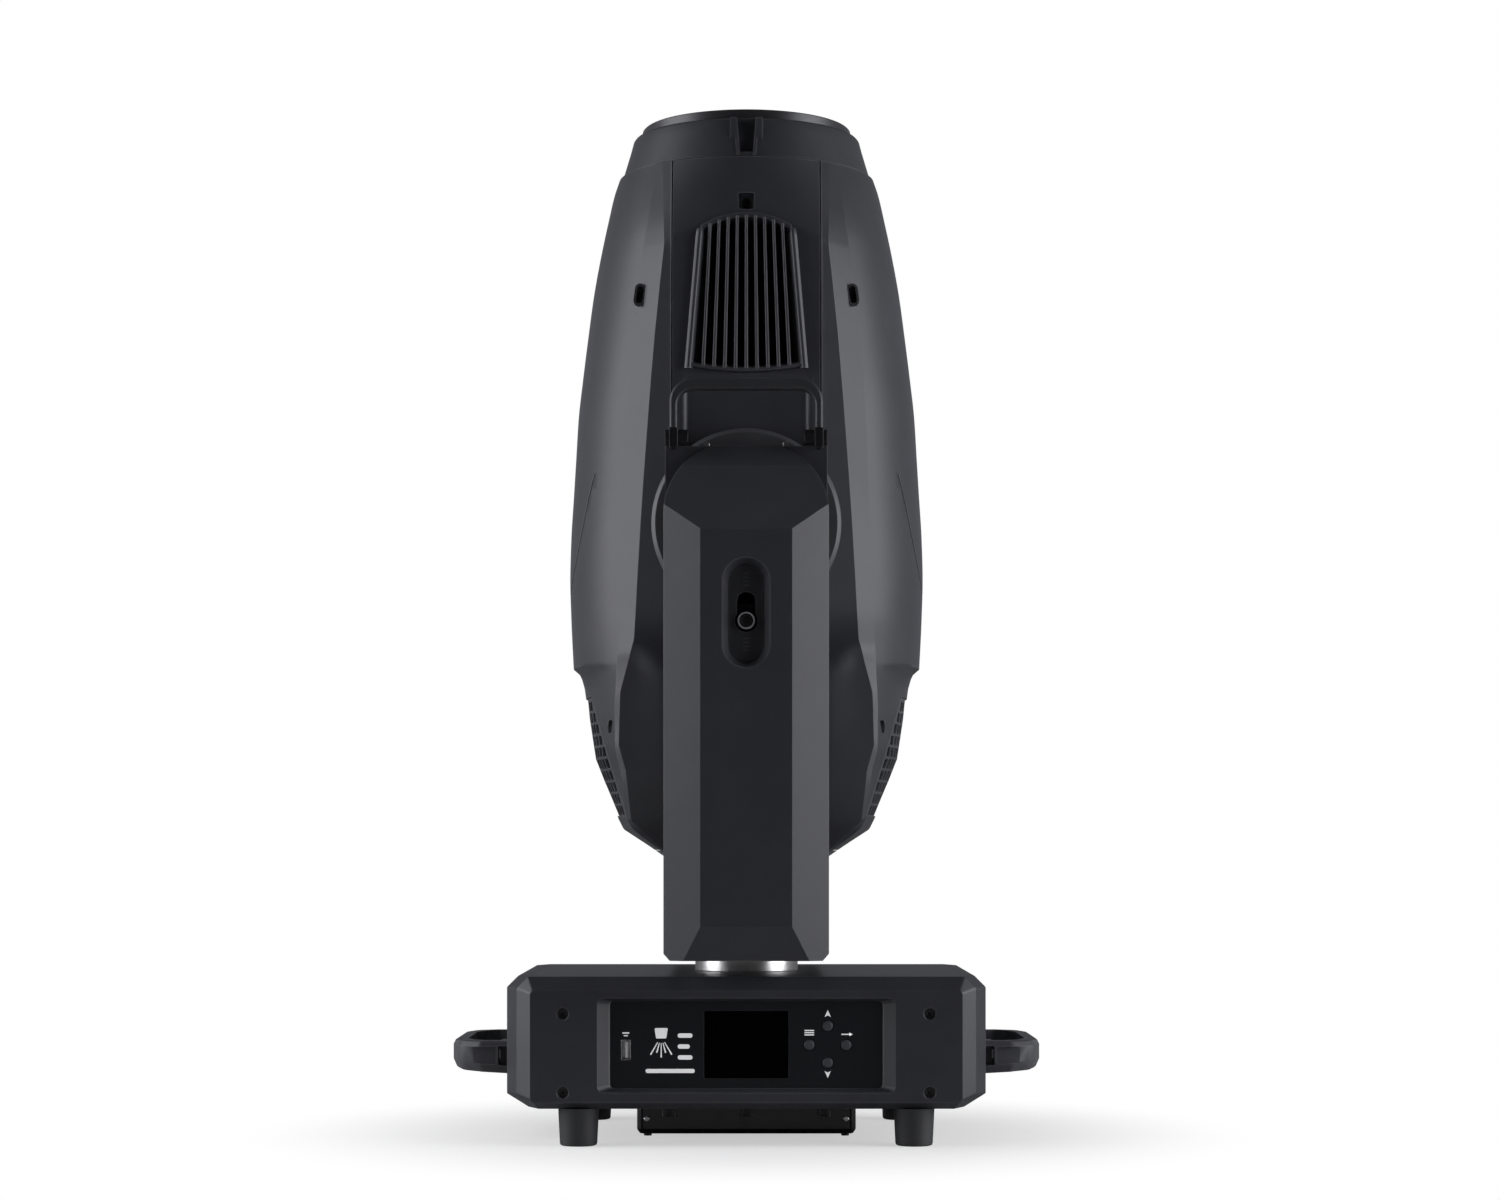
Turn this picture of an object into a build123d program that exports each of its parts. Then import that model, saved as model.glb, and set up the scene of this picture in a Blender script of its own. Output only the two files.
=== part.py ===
from build123d import *
import math
import os

# Moving head stage light, in millimetres.
# Origin: on the pan axis, at floor level. +Z is up, -Y is the side with the control panel, +X is to
# the right when facing that panel. At rest the head points straight up and the yoke arms stand in
# front of and behind the head.
# "Front" is -Y, and rear() mirrors a front piece to the rear.

# ---------------------------------------------------------------- driving dimensions
WALL = 3.0                    # moulded covers
GAP = 0.1                     # assembly gap between covers
RUN = 0.05                    # radial running clearance of every bearing

FOOT_HEIGHT = 27.5
FOOT_PLACE = (123.5, 110.0)

BASE_LOW = FOOT_HEIGHT
BASE_HIGH = 124.5
BASE_HALF_WIDTH = 177.0
CHASSIS_HALF_DEPTH = 101.0    # the end covers start here
SHOULDER_HALF_DEPTH = 120.0   # the end covers turn towards their faces here
SHOULDER_HALF_WIDTH = 168.5
BASE_HALF_DEPTH = 130.0
FACE_HALF_WIDTH = 158.0       # flat face of an end cover
FACE_Z = (32.7, 114.8)
BASE_CUTS = (8.5, 16.0, 10.0)  # corner cuts: top, bottom sideways, bottom upwards
FACE_CUTS = (2.0, 2.0, 2.0)   # the same on the flat face
SCREW_BOSS_RADIUS = 6.5
SCREW_X = 134.0               # end cover screws
SCREW_Z = (40.0, 97.6)

PANEL_RECESS = 6.0            # the control panel lies this far behind the cover's face
PANEL_HALF_WIDTH = 99.7
PANEL_Z = (42.9, 106.8)
PANEL_MOUTH_HALF_WIDTH = 109.0  # opening at the cover's face
PANEL_MOUTH_Z = (40.0, 109.0)
PANEL_OVERLAP = 2.0           # the panel reaches this far behind its frame
SCREEN_HALF_WIDTH = 30.9
SCREEN_Z = (50.2, 99.5)
USB_X = -88.2
USB_Z = 71.0
BUTTON_RADIUS = 4.0
BUTTON_PLACES = {
    "button_up": (59.6, 88.5),
    "button_down": (59.6, 61.5),
    "button_menu": (46.1, 74.6),
    "button_enter": (73.1, 74.6),
}

SIDE_HANDLE_Z = (52.5, 74.5)
SIDE_HANDLE_REACH = 222.0
SIDE_HANDLE_HALF_LENGTH = 75.0
SIDE_HANDLE_BAR = 11.0
HANDLE_SCREW_Y = 57.5

BRACKET_HOLE_X = 53.0         # quarter-turn clamp holes in the base floor
BRACKET_HOLE_Y = 80.0
BRACKET_HOLE_RADIUS = 5.0
SAFETY_EYE_RADIUS = 7.0
SAFETY_EYE_Y = 78.0
SAFETY_EYE_Z = 17.0
SAFETY_SCREW_X = 8.0
BOTTOM_COVER_HALF = (82.5, 60.0)
BOTTOM_COVER_LOW = 3.6
BOTTOM_SCREW_PLACE = (74.5, 50.0)
SOCKET_Z = 75.0               # row of sockets at the rear

COLLAR_RADIUS = 39.5          # bright ring between the base and the yoke
COLLAR_HIGH = 138.2
NECK_RADIUS = 30.0
NECK_HIGH = 163.0
PAN_BEARING_RADIUS = 26.0
PAN_SHAFT_RADIUS = 17.0
PAN_GEAR_RADIUS = 45.0
PAN_PULLEY_RADIUS = 8.0
PAN_MOTOR_Y = 75.0
PAN_BELT_Z = (143.5, 151.5)

YOKE_LOW = 138.5
ARM_HALF_WIDTH = 59.0
ARM_INNER_Y = 119.0           # face of the arm beside the head
ARM_SPLIT_Y = 140.0           # seam between the inner and the outer arm cover
ARM_SHOULDER_Y = 185.0        # the side facets of the arm start here
ARM_OUTER_Y = 200.0
ARM_FACET_HALF_WIDTH = 32.5   # flat centre facet of the arm
ARM_BLOCK_HIGH = 511.0        # flat top of the inner arm cover
ARM_SLOPE = [(-200.0, 445.0), (-186.0, 463.0), (-165.0, 494.0), (-138.0, 513.0)]  # (y, z) of the domed top
ARM_BAND_Z = 163.0            # lean of the lowest band starts here
ARM_BAND_FOOT_Y = 193.0
CROSS_MEMBER_HIGH = 183.0
COVER_WALL = 2.5

TILT_Z = 457.5                # height of the tilt axis
TILT_BEARING_RADIUS = 26.0
TILT_SHAFT_RADIUS = 20.0
TILT_GEAR_RADIUS = 40.0
TILT_PULLEY_RADIUS = 10.0
TILT_MOTOR_Z = 250.0
TILT_BELT_Y = (144.0, 152.0)  # distance from the centre plane
BELT_GAP = 0.3                # radial gap between a belt and its pulleys
BELT_THICKNESS = 1.5

BAIL_PIVOT_Z = 515.0
BAIL_Y = (151.0, 160.0)
BAIL_HALF_WIDTH = 55.5
BAIL_HIGH = 558.0
BAIL_BAR = 9.0
BAIL_LEG = 6.0
BAIL_PIN_RADIUS = 2.0

LOCK_SLOT_Z = (373.0, 400.7)
LOCK_SLOT_RADIUS = 5.85
LOCK_KNOB_Z = 380.2
LOCK_TRAVEL = 12.0
LOCK_PLATE_Y = (181.0, 184.0)
LOCK_POCKET_Y = 187.5         # floor of the oval pocket around the lock

HUB_RADIUS = 70.0
HUB_Y = (108.2, 117.0)
HEAD_HALF_DEPTH = 108.0
HEAD_SEAM_X = 55.0            # seam between a side plate and the covers
HEAD_TOP = 731.0              # covers meet the nose here
HEAD_STEP_Z = 356.0           # covers end here and the tail begins
HEAD_BOTTOM = 203.0
NOSE_RADIUS = 98.0
LENS_RADIUS = 71.5
RIM_RADIUS = 80.0
RIM_HIGH = 770.0

FRAME_Y = (98.0, 101.0)       # the two side plates of the head frame
ROD_PLACES = [(x, y) for x in (-36.0, 36.0) for y in (-88.0, 88.0)]
ROD_RADIUS = 4.0
LENS_DECK_Z = 560.0
LAMP_DECK_Z = 352.0
FAN_Z = (222.0, 240.0)
GOBO_AXIS_X = 42.0
GOBO_Z = 400.0

# ---------------------------------------------------------------- shape helpers


def block(x, y, z):
    """A box between the two values given for each axis."""
    spans = [sorted(pair) for pair in (x, y, z)]
    middle = [(low + high) / 2 for low, high in spans]
    return Pos(*middle) * Box(*[high - low for low, high in spans])


def post(x, y, z, radius):
    """A vertical cylinder between two heights."""
    low, high = sorted(z)
    return Pos(x, y, (low + high) / 2) * Cylinder(radius, high - low)


def spindle(x, z, y, radius):
    """A cylinder along Y between two depths."""
    low, high = sorted(y)
    return Pos(x, (low + high) / 2, z) * Rot(90, 0, 0) * Cylinder(radius, high - low)


def prism_x(points, x):
    """A (y, z) outline carried along X."""
    low, high = sorted(x)
    return extrude(Plane.YZ.offset(low) * Polygon(*points, align=None), high - low, dir=(1, 0, 0))


def prism_y(points, y):
    """An (x, z) outline carried along Y."""
    low, high = sorted(y)
    return extrude(Plane.XZ.offset(-high) * Polygon(*points, align=None), high - low, dir=(0, -1, 0))


def prism_z(points, z):
    """An (x, y) outline carried along Z."""
    low, high = sorted(z)
    return extrude(Plane.XY.offset(low) * Polygon(*points, align=None), high - low, dir=(0, 0, 1))


def rear(shape):
    """The same piece on the rear side."""
    return mirror(shape, about=Plane.XZ)


def left(shape):
    """The same piece on the left side."""
    return mirror(shape, about=Plane.YZ)


def all_corners(shape):
    """A front right piece repeated at all four corners."""
    pair = [shape, left(shape)]
    return pair + [rear(piece) for piece in pair]


def save(node, *pieces):
    """Write one node, with each separate piece as its own solid."""
    solids = [solid for piece in pieces for solid in piece.solids()]
    shape = solids[0] if len(solids) == 1 else Compound(children=solids)
    export_step(shape, f"parts/{node}.step")


# ---------------------------------------------------------------- base


def base_outline(half_width, low, high, cut):
    """Outline of the base seen from the front, with cut corners."""
    top_cut, side_cut, bottom_cut = cut
    right = [
        (half_width - side_cut, low),
        (half_width, low + bottom_cut),
        (half_width, high - top_cut),
        (half_width - top_cut, high),
    ]
    return right + [(-x, z) for x, z in reversed(right)]


def base_section(half_depth, half_width, low, high, cuts=BASE_CUTS):
    outline = base_outline(half_width, low, high, cuts)
    return Plane.XZ.offset(half_depth) * Polygon(*outline, align=None)


def end_cover_body(wall):
    """Solid form of the front end cover, drawn in by wall on every outer side."""
    low, high = BASE_LOW + wall, BASE_HIGH - wall
    face_low, face_high = FACE_Z[0] + wall, FACE_Z[1] - wall
    sections = [
        base_section(CHASSIS_HALF_DEPTH, BASE_HALF_WIDTH - wall, low, high),
        base_section(SHOULDER_HALF_DEPTH, SHOULDER_HALF_WIDTH - wall, low, high),
        base_section(BASE_HALF_DEPTH - wall, FACE_HALF_WIDTH - wall, face_low, face_high, FACE_CUTS),
    ]
    return loft(sections, ruled=True)


def end_cover():
    """Hollow front cover with screw bosses, without its panel opening."""
    boss_y = (-BASE_HALF_DEPTH + WALL, -CHASSIS_HALF_DEPTH)
    shell = end_cover_body(0.0) - end_cover_body(WALL)
    for x in (-SCREW_X, SCREW_X):
        for z in SCREW_Z:
            shell += spindle(x, z, boss_y, SCREW_BOSS_RADIUS)
    for x in (-SCREW_X, SCREW_X):
        for z in SCREW_Z:
            shell -= spindle(x, z, (-BASE_HALF_DEPTH - 1, -BASE_HALF_DEPTH + 5), 4.0)
            shell -= spindle(x, z, (-BASE_HALF_DEPTH, -CHASSIS_HALF_DEPTH + 1), 2.2)
    for x in (-FOOT_PLACE[0], FOOT_PLACE[0]):
        shell -= post(x, -FOOT_PLACE[1], (BASE_LOW - 1, BASE_LOW + WALL + 1), 2.6)
    return shell


def panel_opening(outer_half_width, outer_z, inner_half_width, inner_z):
    """Tapered opening that narrows from the cover's face to the panel."""
    sections = []
    for depth, half_width, (low, high) in (
        (BASE_HALF_DEPTH, outer_half_width, outer_z),
        (BASE_HALF_DEPTH - PANEL_RECESS, inner_half_width, inner_z),
    ):
        outline = [(-half_width, low), (half_width, low), (half_width, high), (-half_width, high)]
        sections.append(Plane.XZ.offset(depth) * Polygon(*outline, align=None))
    return loft(sections, ruled=True)


def front_cover_with_opening():
    panel_y = -BASE_HALF_DEPTH + PANEL_RECESS
    low, high = PANEL_Z
    frame = block((-112, 112), (panel_y + 3.5, -BASE_HALF_DEPTH + WALL), (low - 5.5, high + 4.5))
    cover = end_cover() + frame
    cover -= panel_opening(PANEL_MOUTH_HALF_WIDTH, PANEL_MOUTH_Z, PANEL_HALF_WIDTH, PANEL_Z)
    seat = PANEL_OVERLAP + GAP
    cover -= block((-102, 102), (panel_y, panel_y + 5), (low - seat, high + seat))
    return cover


def rear_cover_with_opening():
    """Rear cover with a window for the connector plate."""
    window = block((-102, 102), (-BASE_HALF_DEPTH - 1, -BASE_HALF_DEPTH + WALL + 1), (43, 107))
    return rear(end_cover() - window)


def chassis():
    """Aluminium tub: cut-corner tube open at the top, floor and flanges for the end covers."""
    span = (-CHASSIS_HALF_DEPTH + GAP, CHASSIS_HALF_DEPTH - GAP)
    outer = prism_y(base_outline(BASE_HALF_WIDTH, BASE_LOW, BASE_HIGH, BASE_CUTS), span)
    inner_outline = base_outline(BASE_HALF_WIDTH - WALL, BASE_LOW + WALL, BASE_HIGH - WALL, BASE_CUTS)
    inner = prism_y(inner_outline, (-BASE_HALF_DEPTH, BASE_HALF_DEPTH))
    tub = outer - inner - block((-160, 160), (-110, 110), (110, 130))
    tub += block((-168, -150), span, (118, BASE_HIGH - WALL))
    tub += block((150, 168), span, (118, BASE_HIGH - WALL))
    flange_z = (BASE_LOW + WALL, 118)
    foot_tongue_y = (-119, -90)
    flange = block((122, 174), (-100.9, -98.4), flange_z)
    tongue = block((112, 136), foot_tongue_y, (BASE_LOW + WALL, BASE_LOW + 2 * WALL))
    for piece in all_corners(flange):
        tub += piece & outer
    for piece in all_corners(tongue):
        tub += piece
    for z in SCREW_Z:
        for hole in all_corners(spindle(SCREW_X, z, (-105, -95), 2.0)):
            tub -= hole
    floor_z = (BASE_LOW - 1, BASE_LOW + 2 * WALL + 1)
    for hole in all_corners(post(FOOT_PLACE[0], -FOOT_PLACE[1], floor_z, 2.0)):
        tub -= hole
    for hole in all_corners(post(BRACKET_HOLE_X, -BRACKET_HOLE_Y, floor_z, BRACKET_HOLE_RADIUS)):
        tub -= hole
    for hole in all_corners(post(BOTTOM_SCREW_PLACE[0], -BOTTOM_SCREW_PLACE[1], floor_z, 1.5)):
        tub -= hole
    for y in (-HANDLE_SCREW_Y, HANDLE_SCREW_Y):
        for x in (-BASE_HALF_WIDTH, BASE_HALF_WIDTH):
            tub -= Pos(x, y, sum(SIDE_HANDLE_Z) / 2) * Rot(0, 90, 0) * Cylinder(2.5, 12)
    for x in (-SAFETY_SCREW_X, SAFETY_SCREW_X):
        tub -= post(x, SAFETY_EYE_Y, floor_z, 2.0)
    return tub


def top_plate():
    """Lid of the tub, with the bore that locates the pan hub."""
    lid = block((-159.8, 159.8), (-100.8, 100.8), (BASE_HIGH - WALL, BASE_HIGH))
    return lid - post(0, 0, (BASE_HIGH - 5, BASE_HIGH + 1), NECK_RADIUS + GAP)


def base_screws():
    """Cap screws of the end covers and the handles."""
    socket = 2.0
    face = -BASE_HALF_DEPTH + 5
    pieces = []
    for z in SCREW_Z:
        screw = spindle(SCREW_X, z, (face - 3, face), 3.7) + spindle(SCREW_X, z, (face, -96), 2.0)
        screw -= spindle(SCREW_X, z, (face - 4, face - 1.5), socket)
        pieces += all_corners(screw)
    handle_z = sum(SIDE_HANDLE_Z) / 2
    shank = Pos(BASE_HALF_WIDTH + 0.5, -HANDLE_SCREW_Y, handle_z) * Rot(0, 90, 0) * Cylinder(2.5, 13)
    head = Pos(BASE_HALF_WIDTH + 8.6, -HANDLE_SCREW_Y, handle_z) * Rot(0, 90, 0) * Cylinder(4.5, 3)
    pieces += all_corners(shank + head)
    return pieces


def side_handle():
    """Rigid loop on the right side, lying level, with two mounting pads."""
    low, high = SIDE_HANDLE_Z
    root = BASE_HALF_WIDTH + GAP
    half = SIDE_HANDLE_HALF_LENGTH
    bar = SIDE_HANDLE_BAR
    corner = 24.0
    taper = 9.0
    outer = [
        (root, -half),
        (SIDE_HANDLE_REACH - corner, -half),
        (SIDE_HANDLE_REACH - taper, -half + taper),
        (SIDE_HANDLE_REACH, -half + corner + taper),
    ]
    inner = [
        (root - 1, -half + bar),
        (SIDE_HANDLE_REACH - corner - 4, -half + bar),
        (SIDE_HANDLE_REACH - taper - bar, -half + taper + bar),
        (SIDE_HANDLE_REACH - bar, -half + corner + taper + 3),
    ]
    ring = prism_z(outer + [(x, -y) for x, y in reversed(outer)], (low, high))
    ring -= prism_z(inner + [(x, -y) for x, y in reversed(inner)], (low - 1, high + 1))
    for side in (-1, 1):
        ring += block((root, root + 7), (side * 50, side * (half - bar)), (low, high))
        hole = Pos(root, side * HANDLE_SCREW_Y, (low + high) / 2) * Rot(0, 90, 0) * Cylinder(2.5, 20)
        ring -= hole
    return ring


def foot():
    """Rubber foot at the front right corner, with a recessed screw seat."""
    x, y = FOOT_PLACE
    radius_low, radius_high = 13.0, 14.5
    body = Pos(x, -y, FOOT_HEIGHT / 2) * Cone(radius_low, radius_high, FOOT_HEIGHT)
    body -= post(x, -y, (-1, 14), 5.5)
    body -= post(x, -y, (10, FOOT_HEIGHT + 1), 2.2)
    return body


def bottom_screws():
    """Foot screws and the screws of the underside cover."""
    x, y = FOOT_PLACE
    foot_screw = post(x, -y, (10.2, 14), 4.5) + post(x, -y, (14, BASE_LOW + 8), 2.0)
    x, y = BOTTOM_SCREW_PLACE
    cover_screw = post(x, -y, (1.6, BOTTOM_COVER_LOW), 3.0)
    cover_screw += post(x, -y, (BOTTOM_COVER_LOW, BASE_LOW + 5), 1.5)
    return all_corners(foot_screw) + all_corners(cover_screw)


def bottom_cover():
    """Shallow pan under the base, open at the top."""
    half_x, half_y = BOTTOM_COVER_HALF
    room_x, room_y = half_x - COVER_WALL, half_y - COVER_WALL
    pan = block((-half_x, half_x), (-half_y, half_y), (BOTTOM_COVER_LOW, BASE_LOW))
    pan = chamfer(pan.edges().filter_by(Axis.Z), 5)
    pan -= block((-room_x, room_x), (-room_y, room_y), (BOTTOM_COVER_LOW + COVER_WALL, BASE_LOW + 1))
    for x in (-58, 0, 58):
        pan += block((x - 5.5, x + 5.5), (-half_y - 3, -half_y), (18, BASE_LOW))
    screw_x, screw_y = BOTTOM_SCREW_PLACE
    for boss in all_corners(post(screw_x, -screw_y, (BOTTOM_COVER_LOW, BASE_LOW), 4.5)):
        pan += boss
    for hole in all_corners(post(screw_x, -screw_y, (0, BASE_LOW + 1), 1.6)):
        pan -= hole
    return pan


def safety_eye():
    """Steel tab under the base, behind the underside cover, with a hole for the safety cable's hook."""
    low = SAFETY_EYE_Z - SAFETY_EYE_RADIUS - 3
    right = [(12.0, BASE_LOW), (10.5, low + 6), (6.0, low)]
    outline = right + [(-y, z) for y, z in reversed(right)]
    eye = prism_x([(SAFETY_EYE_Y + y, z) for y, z in outline], (-3.0, 3.0))
    eye += block((-14, 14), (SAFETY_EYE_Y - 7, SAFETY_EYE_Y + 7), (BASE_LOW - 3, BASE_LOW))
    eye -= Pos(0, SAFETY_EYE_Y, SAFETY_EYE_Z) * Rot(0, 90, 0) * Cylinder(SAFETY_EYE_RADIUS, 20)
    for x in (-SAFETY_SCREW_X, SAFETY_SCREW_X):
        eye -= post(x, SAFETY_EYE_Y, (BASE_LOW - 4, BASE_LOW + 1), 2.0)
    return eye


def control_panel():
    """Dark panel with a screen window, a socket window and four button holes."""
    front = -BASE_HALF_DEPTH + PANEL_RECESS
    low, high = PANEL_Z
    half = PANEL_HALF_WIDTH + PANEL_OVERLAP
    plate = block((-half, half), (front, front + 3), (low - PANEL_OVERLAP, high + PANEL_OVERLAP))
    cut_y = (front - 1, front + 4)
    plate -= block((-SCREEN_HALF_WIDTH, SCREEN_HALF_WIDTH), cut_y, SCREEN_Z)
    plate -= block((USB_X - 3.6, USB_X + 3.6), cut_y, (USB_Z - 7.6, USB_Z + 7.6))
    for x, z in BUTTON_PLACES.values():
        plate -= spindle(x, z, cut_y, BUTTON_RADIUS + RUN)
    return plate


def screen():
    front = -BASE_HALF_DEPTH + PANEL_RECESS
    low, high = SCREEN_Z
    half = SCREEN_HALF_WIDTH - GAP
    return block((-half, half), (front + 0.3, front + 5), (low + GAP, high - GAP))


def usb_socket():
    """Metal shell with its tongue, standing on end."""
    front = -BASE_HALF_DEPTH + PANEL_RECESS
    depth = (front + 0.2, front + 12)
    shell = block((USB_X - 3.5, USB_X + 3.5), depth, (USB_Z - 7.5, USB_Z + 7.5))
    shell -= block((USB_X - 3.0, USB_X + 3.0), (front, front + 10), (USB_Z - 7.0, USB_Z + 7.0))
    tongue = block((USB_X + 0.4, USB_X + 2.2), (front + 1, front + 11), (USB_Z - 6.0, USB_Z + 6.0))
    return shell + tongue


def button(x, z):
    """Round cap that stands 1.2 mm proud, with a flange behind the panel."""
    front = -BASE_HALF_DEPTH + PANEL_RECESS
    cap = spindle(x, z, (front - 1.2, front + 3.4), BUTTON_RADIUS)
    flange = spindle(x, z, (front + 3.2, front + 4.4), BUTTON_RADIUS + 1.5)
    stem = spindle(x, z, (front + 4.4, front + 5.8), 1.5)
    return cap + flange + stem


def control_board():
    """Circuit board with the switches under the buttons."""
    front = -BASE_HALF_DEPTH + PANEL_RECESS
    board = block((-86, 86), (front + 9, front + 10.6), (46, 104))
    board -= block((USB_X - 4, USB_X + 4), (front + 8, front + 12), (USB_Z - 8, USB_Z + 8))
    for x, z in BUTTON_PLACES.values():
        board += block((x - 3, x + 3), (front + 7, front + 9), (z - 3, z + 3))
    return board


def connector_plate():
    plate = block((-101.8, 101.8), (BASE_HALF_DEPTH - 3, BASE_HALF_DEPTH - 1), (43.2, 106.8))
    for x, radius in socket_places():
        plate -= spindle(x, SOCKET_Z, (BASE_HALF_DEPTH - 5, BASE_HALF_DEPTH + 1), radius)
    return plate


def socket_places():
    """Power in and out at the left, data sockets towards the right."""
    return [(-80, 13.0), (-45, 13.0), (-8, 11.0), (24, 11.0), (56, 10.0), (84, 10.0)]


def rear_sockets():
    """Round chassis sockets with a recessed face."""
    pieces = []
    for x, radius in socket_places():
        body = spindle(x, SOCKET_Z, (BASE_HALF_DEPTH - 22, BASE_HALF_DEPTH - 0.5), radius - GAP)
        body -= spindle(x, SOCKET_Z, (BASE_HALF_DEPTH - 8, BASE_HALF_DEPTH), radius - 2.5)
        body += spindle(x, SOCKET_Z, (BASE_HALF_DEPTH - 10, BASE_HALF_DEPTH - 2), radius - 6)
        pieces.append(body)
    return pieces


def power_supply():
    """Closed supply box on the chassis floor."""
    low = BASE_LOW + WALL
    box = block((-46, 46), (40, 96), (low, 96))
    for x in (-30, -15, 0, 15, 30):
        box -= block((x - 4, x + 4), (44, 92), (92, 97))
    return box


def pan_hub():
    """Bright collar with a spigot below and a neck above, bored for the pan bearings."""
    hub = post(0, 0, (BASE_HIGH, COLLAR_HIGH), COLLAR_RADIUS)
    hub += post(0, 0, (106, NECK_HIGH), NECK_RADIUS)
    hub -= post(0, 0, (108, NECK_HIGH + 1), PAN_BEARING_RADIUS)
    hub -= post(0, 0, (100, 110), 23.0)
    return hub


def pan_bearings():
    rings = []
    for low in (108.0, 149.0):
        ring = post(0, 0, (low, low + 13), PAN_BEARING_RADIUS)
        rings.append(ring - post(0, 0, (low - 1, low + 14), PAN_SHAFT_RADIUS + RUN))
    return rings


def pan_gear():
    """Fixed belt wheel on the neck. The pan motor climbs around it."""
    low, high = PAN_BELT_Z
    wheel = post(0, 0, (low - 1.5, high + 1.5), PAN_GEAR_RADIUS)
    for z in (low - 1.5, high + 0.5):
        wheel += post(0, 0, (z, z + 1), PAN_GEAR_RADIUS + 2)
    wheel -= post(0, 0, (low - 5, high + 5), NECK_RADIUS)
    for index in range(6):
        angle = math.radians(60 * index)
        wheel -= post(37.5 * math.cos(angle), 37.5 * math.sin(angle), (low - 5, high + 5), 4)
    return wheel


# ---------------------------------------------------------------- yoke


def arm_body(wall):
    """Solid form of the front outer arm cover, drawn in by wall on its outer sides."""
    half = ARM_HALF_WIDTH - wall
    low = YOKE_LOW + wall
    cut_x, cut_z = 5.0, 6.0
    sides = [(half, TILT_Z), (half, low + cut_z), (half - cut_x, low)]
    outline = sides + [(-x, z) for x, z in reversed(sides)]
    body = prism_y(outline, (-ARM_OUTER_Y + wall, -ARM_SPLIT_Y))
    dome = spindle(0, TILT_Z, (-ARM_OUTER_Y + wall, -ARM_SPLIT_Y), half)
    body += dome & block((-80, 80), (-220, 0), (TILT_Z, 600))
    for side in (-1, 1):
        facet = [
            (side * (ARM_FACET_HALF_WIDTH - wall / 4), -ARM_OUTER_Y + wall),
            (side * half, -ARM_SHOULDER_Y + wall / 2),
            (side * 80, -ARM_SHOULDER_Y + wall / 2),
            (side * 80, -220),
            (side * (ARM_FACET_HALF_WIDTH - wall / 4), -220),
        ]
        body -= prism_z(facet, (100, 600))
    slope = [(y + 0.8 * wall, z - 0.8 * wall) for y, z in ARM_SLOPE]
    body -= prism_x(slope + [(slope[-1][0], 600), (-220, 600), (-220, slope[0][1])], (-80, 80))
    foot_y = -ARM_BAND_FOOT_Y + wall
    band = [
        (-ARM_OUTER_Y + wall, ARM_BAND_Z),
        (-220, ARM_BAND_Z),
        (-220, 100),
        (foot_y, 100),
        (foot_y, low),
    ]
    return body - prism_x(band, (-80, 80))


def arm_outer_cover():
    """Hollow faceted cover of the front arm, open towards the head."""
    cavity = arm_body(COVER_WALL)
    cavity += prism_y(
        [(-56, YOKE_LOW + 8), (56, YOKE_LOW + 8), (56, TILT_Z), (-56, TILT_Z)],
        (-ARM_SPLIT_Y - 1, -ARM_SPLIT_Y + 1),
    )
    return arm_body(0.0) - cavity


def lock_slot(y, grow=0.0):
    """The slot that guides the lock knob."""
    low, high = LOCK_SLOT_Z
    radius = LOCK_SLOT_RADIUS + grow
    low_centre, high_centre = low + LOCK_SLOT_RADIUS, high - LOCK_SLOT_RADIUS
    slot = block((-radius, radius), y, (low_centre, high_centre))
    return slot + spindle(0, low_centre, y, radius) + spindle(0, high_centre, y, radius)


def lock_pocket(y_mouth, y_floor, mouth, floor):
    """Oval pocket with sloped walls. mouth and floor are (half width, half height)."""
    centre = 385.5
    sections = []
    for depth, (half_width, half_height) in ((y_mouth, mouth), (y_floor, floor)):
        oval = SlotCenterToCenter(2 * (half_height - half_width), 2 * half_width, rotation=90)
        sections.append(Plane.XZ.offset(depth) * Pos(0, centre) * oval)
    return loft(sections, ruled=True)


def front_arm_cover():
    """Front cover with the pocket and the slot of the tilt lock."""
    pocket_wall = lock_pocket(ARM_OUTER_Y - 0.5, LOCK_POCKET_Y - 2.5, (19.0, 41.0), (15.0, 36.5))
    cover = arm_outer_cover() + pocket_wall
    cover -= lock_pocket(ARM_OUTER_Y + 1, LOCK_POCKET_Y, (17.6, 39.7), (12.5, 34.0))
    return cover - lock_slot((-LOCK_POCKET_Y - 5, -LOCK_POCKET_Y + 5))


def arm_inner_cover():
    """Tray beside the head, with the opening for the tilt hub, a flat top and closed top corners."""
    span = (-ARM_SPLIT_Y + GAP, -ARM_INNER_Y)
    half = ARM_HALF_WIDTH
    tray = block((-half, half), span, (CROSS_MEMBER_HIGH + 2, ARM_BLOCK_HIGH))
    room = (-ARM_SPLIT_Y - 1, -ARM_INNER_Y - COVER_WALL)
    tray -= block((-half + COVER_WALL, half - COVER_WALL), room, (150, ARM_BLOCK_HIGH - COVER_WALL))
    tray -= spindle(0, TILT_Z, (-ARM_SPLIT_Y, 0), TILT_SHAFT_RADIUS + 3)
    corners = block((-half, half), (span[0], span[0] + COVER_WALL), (TILT_Z, ARM_BLOCK_HIGH))
    tray += corners - spindle(0, TILT_Z, (-ARM_SPLIT_Y - 1, -ARM_SPLIT_Y + 5), half - COVER_WALL)
    room_half = half - COVER_WALL
    skirt = block((-half, half), span, (YOKE_LOW + 4, CROSS_MEMBER_HIGH + 2))
    skirt -= block((-room_half, room_half), (-ARM_SPLIT_Y - 1, 0), (100, CROSS_MEMBER_HIGH + 3))
    return tray + skirt


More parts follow.
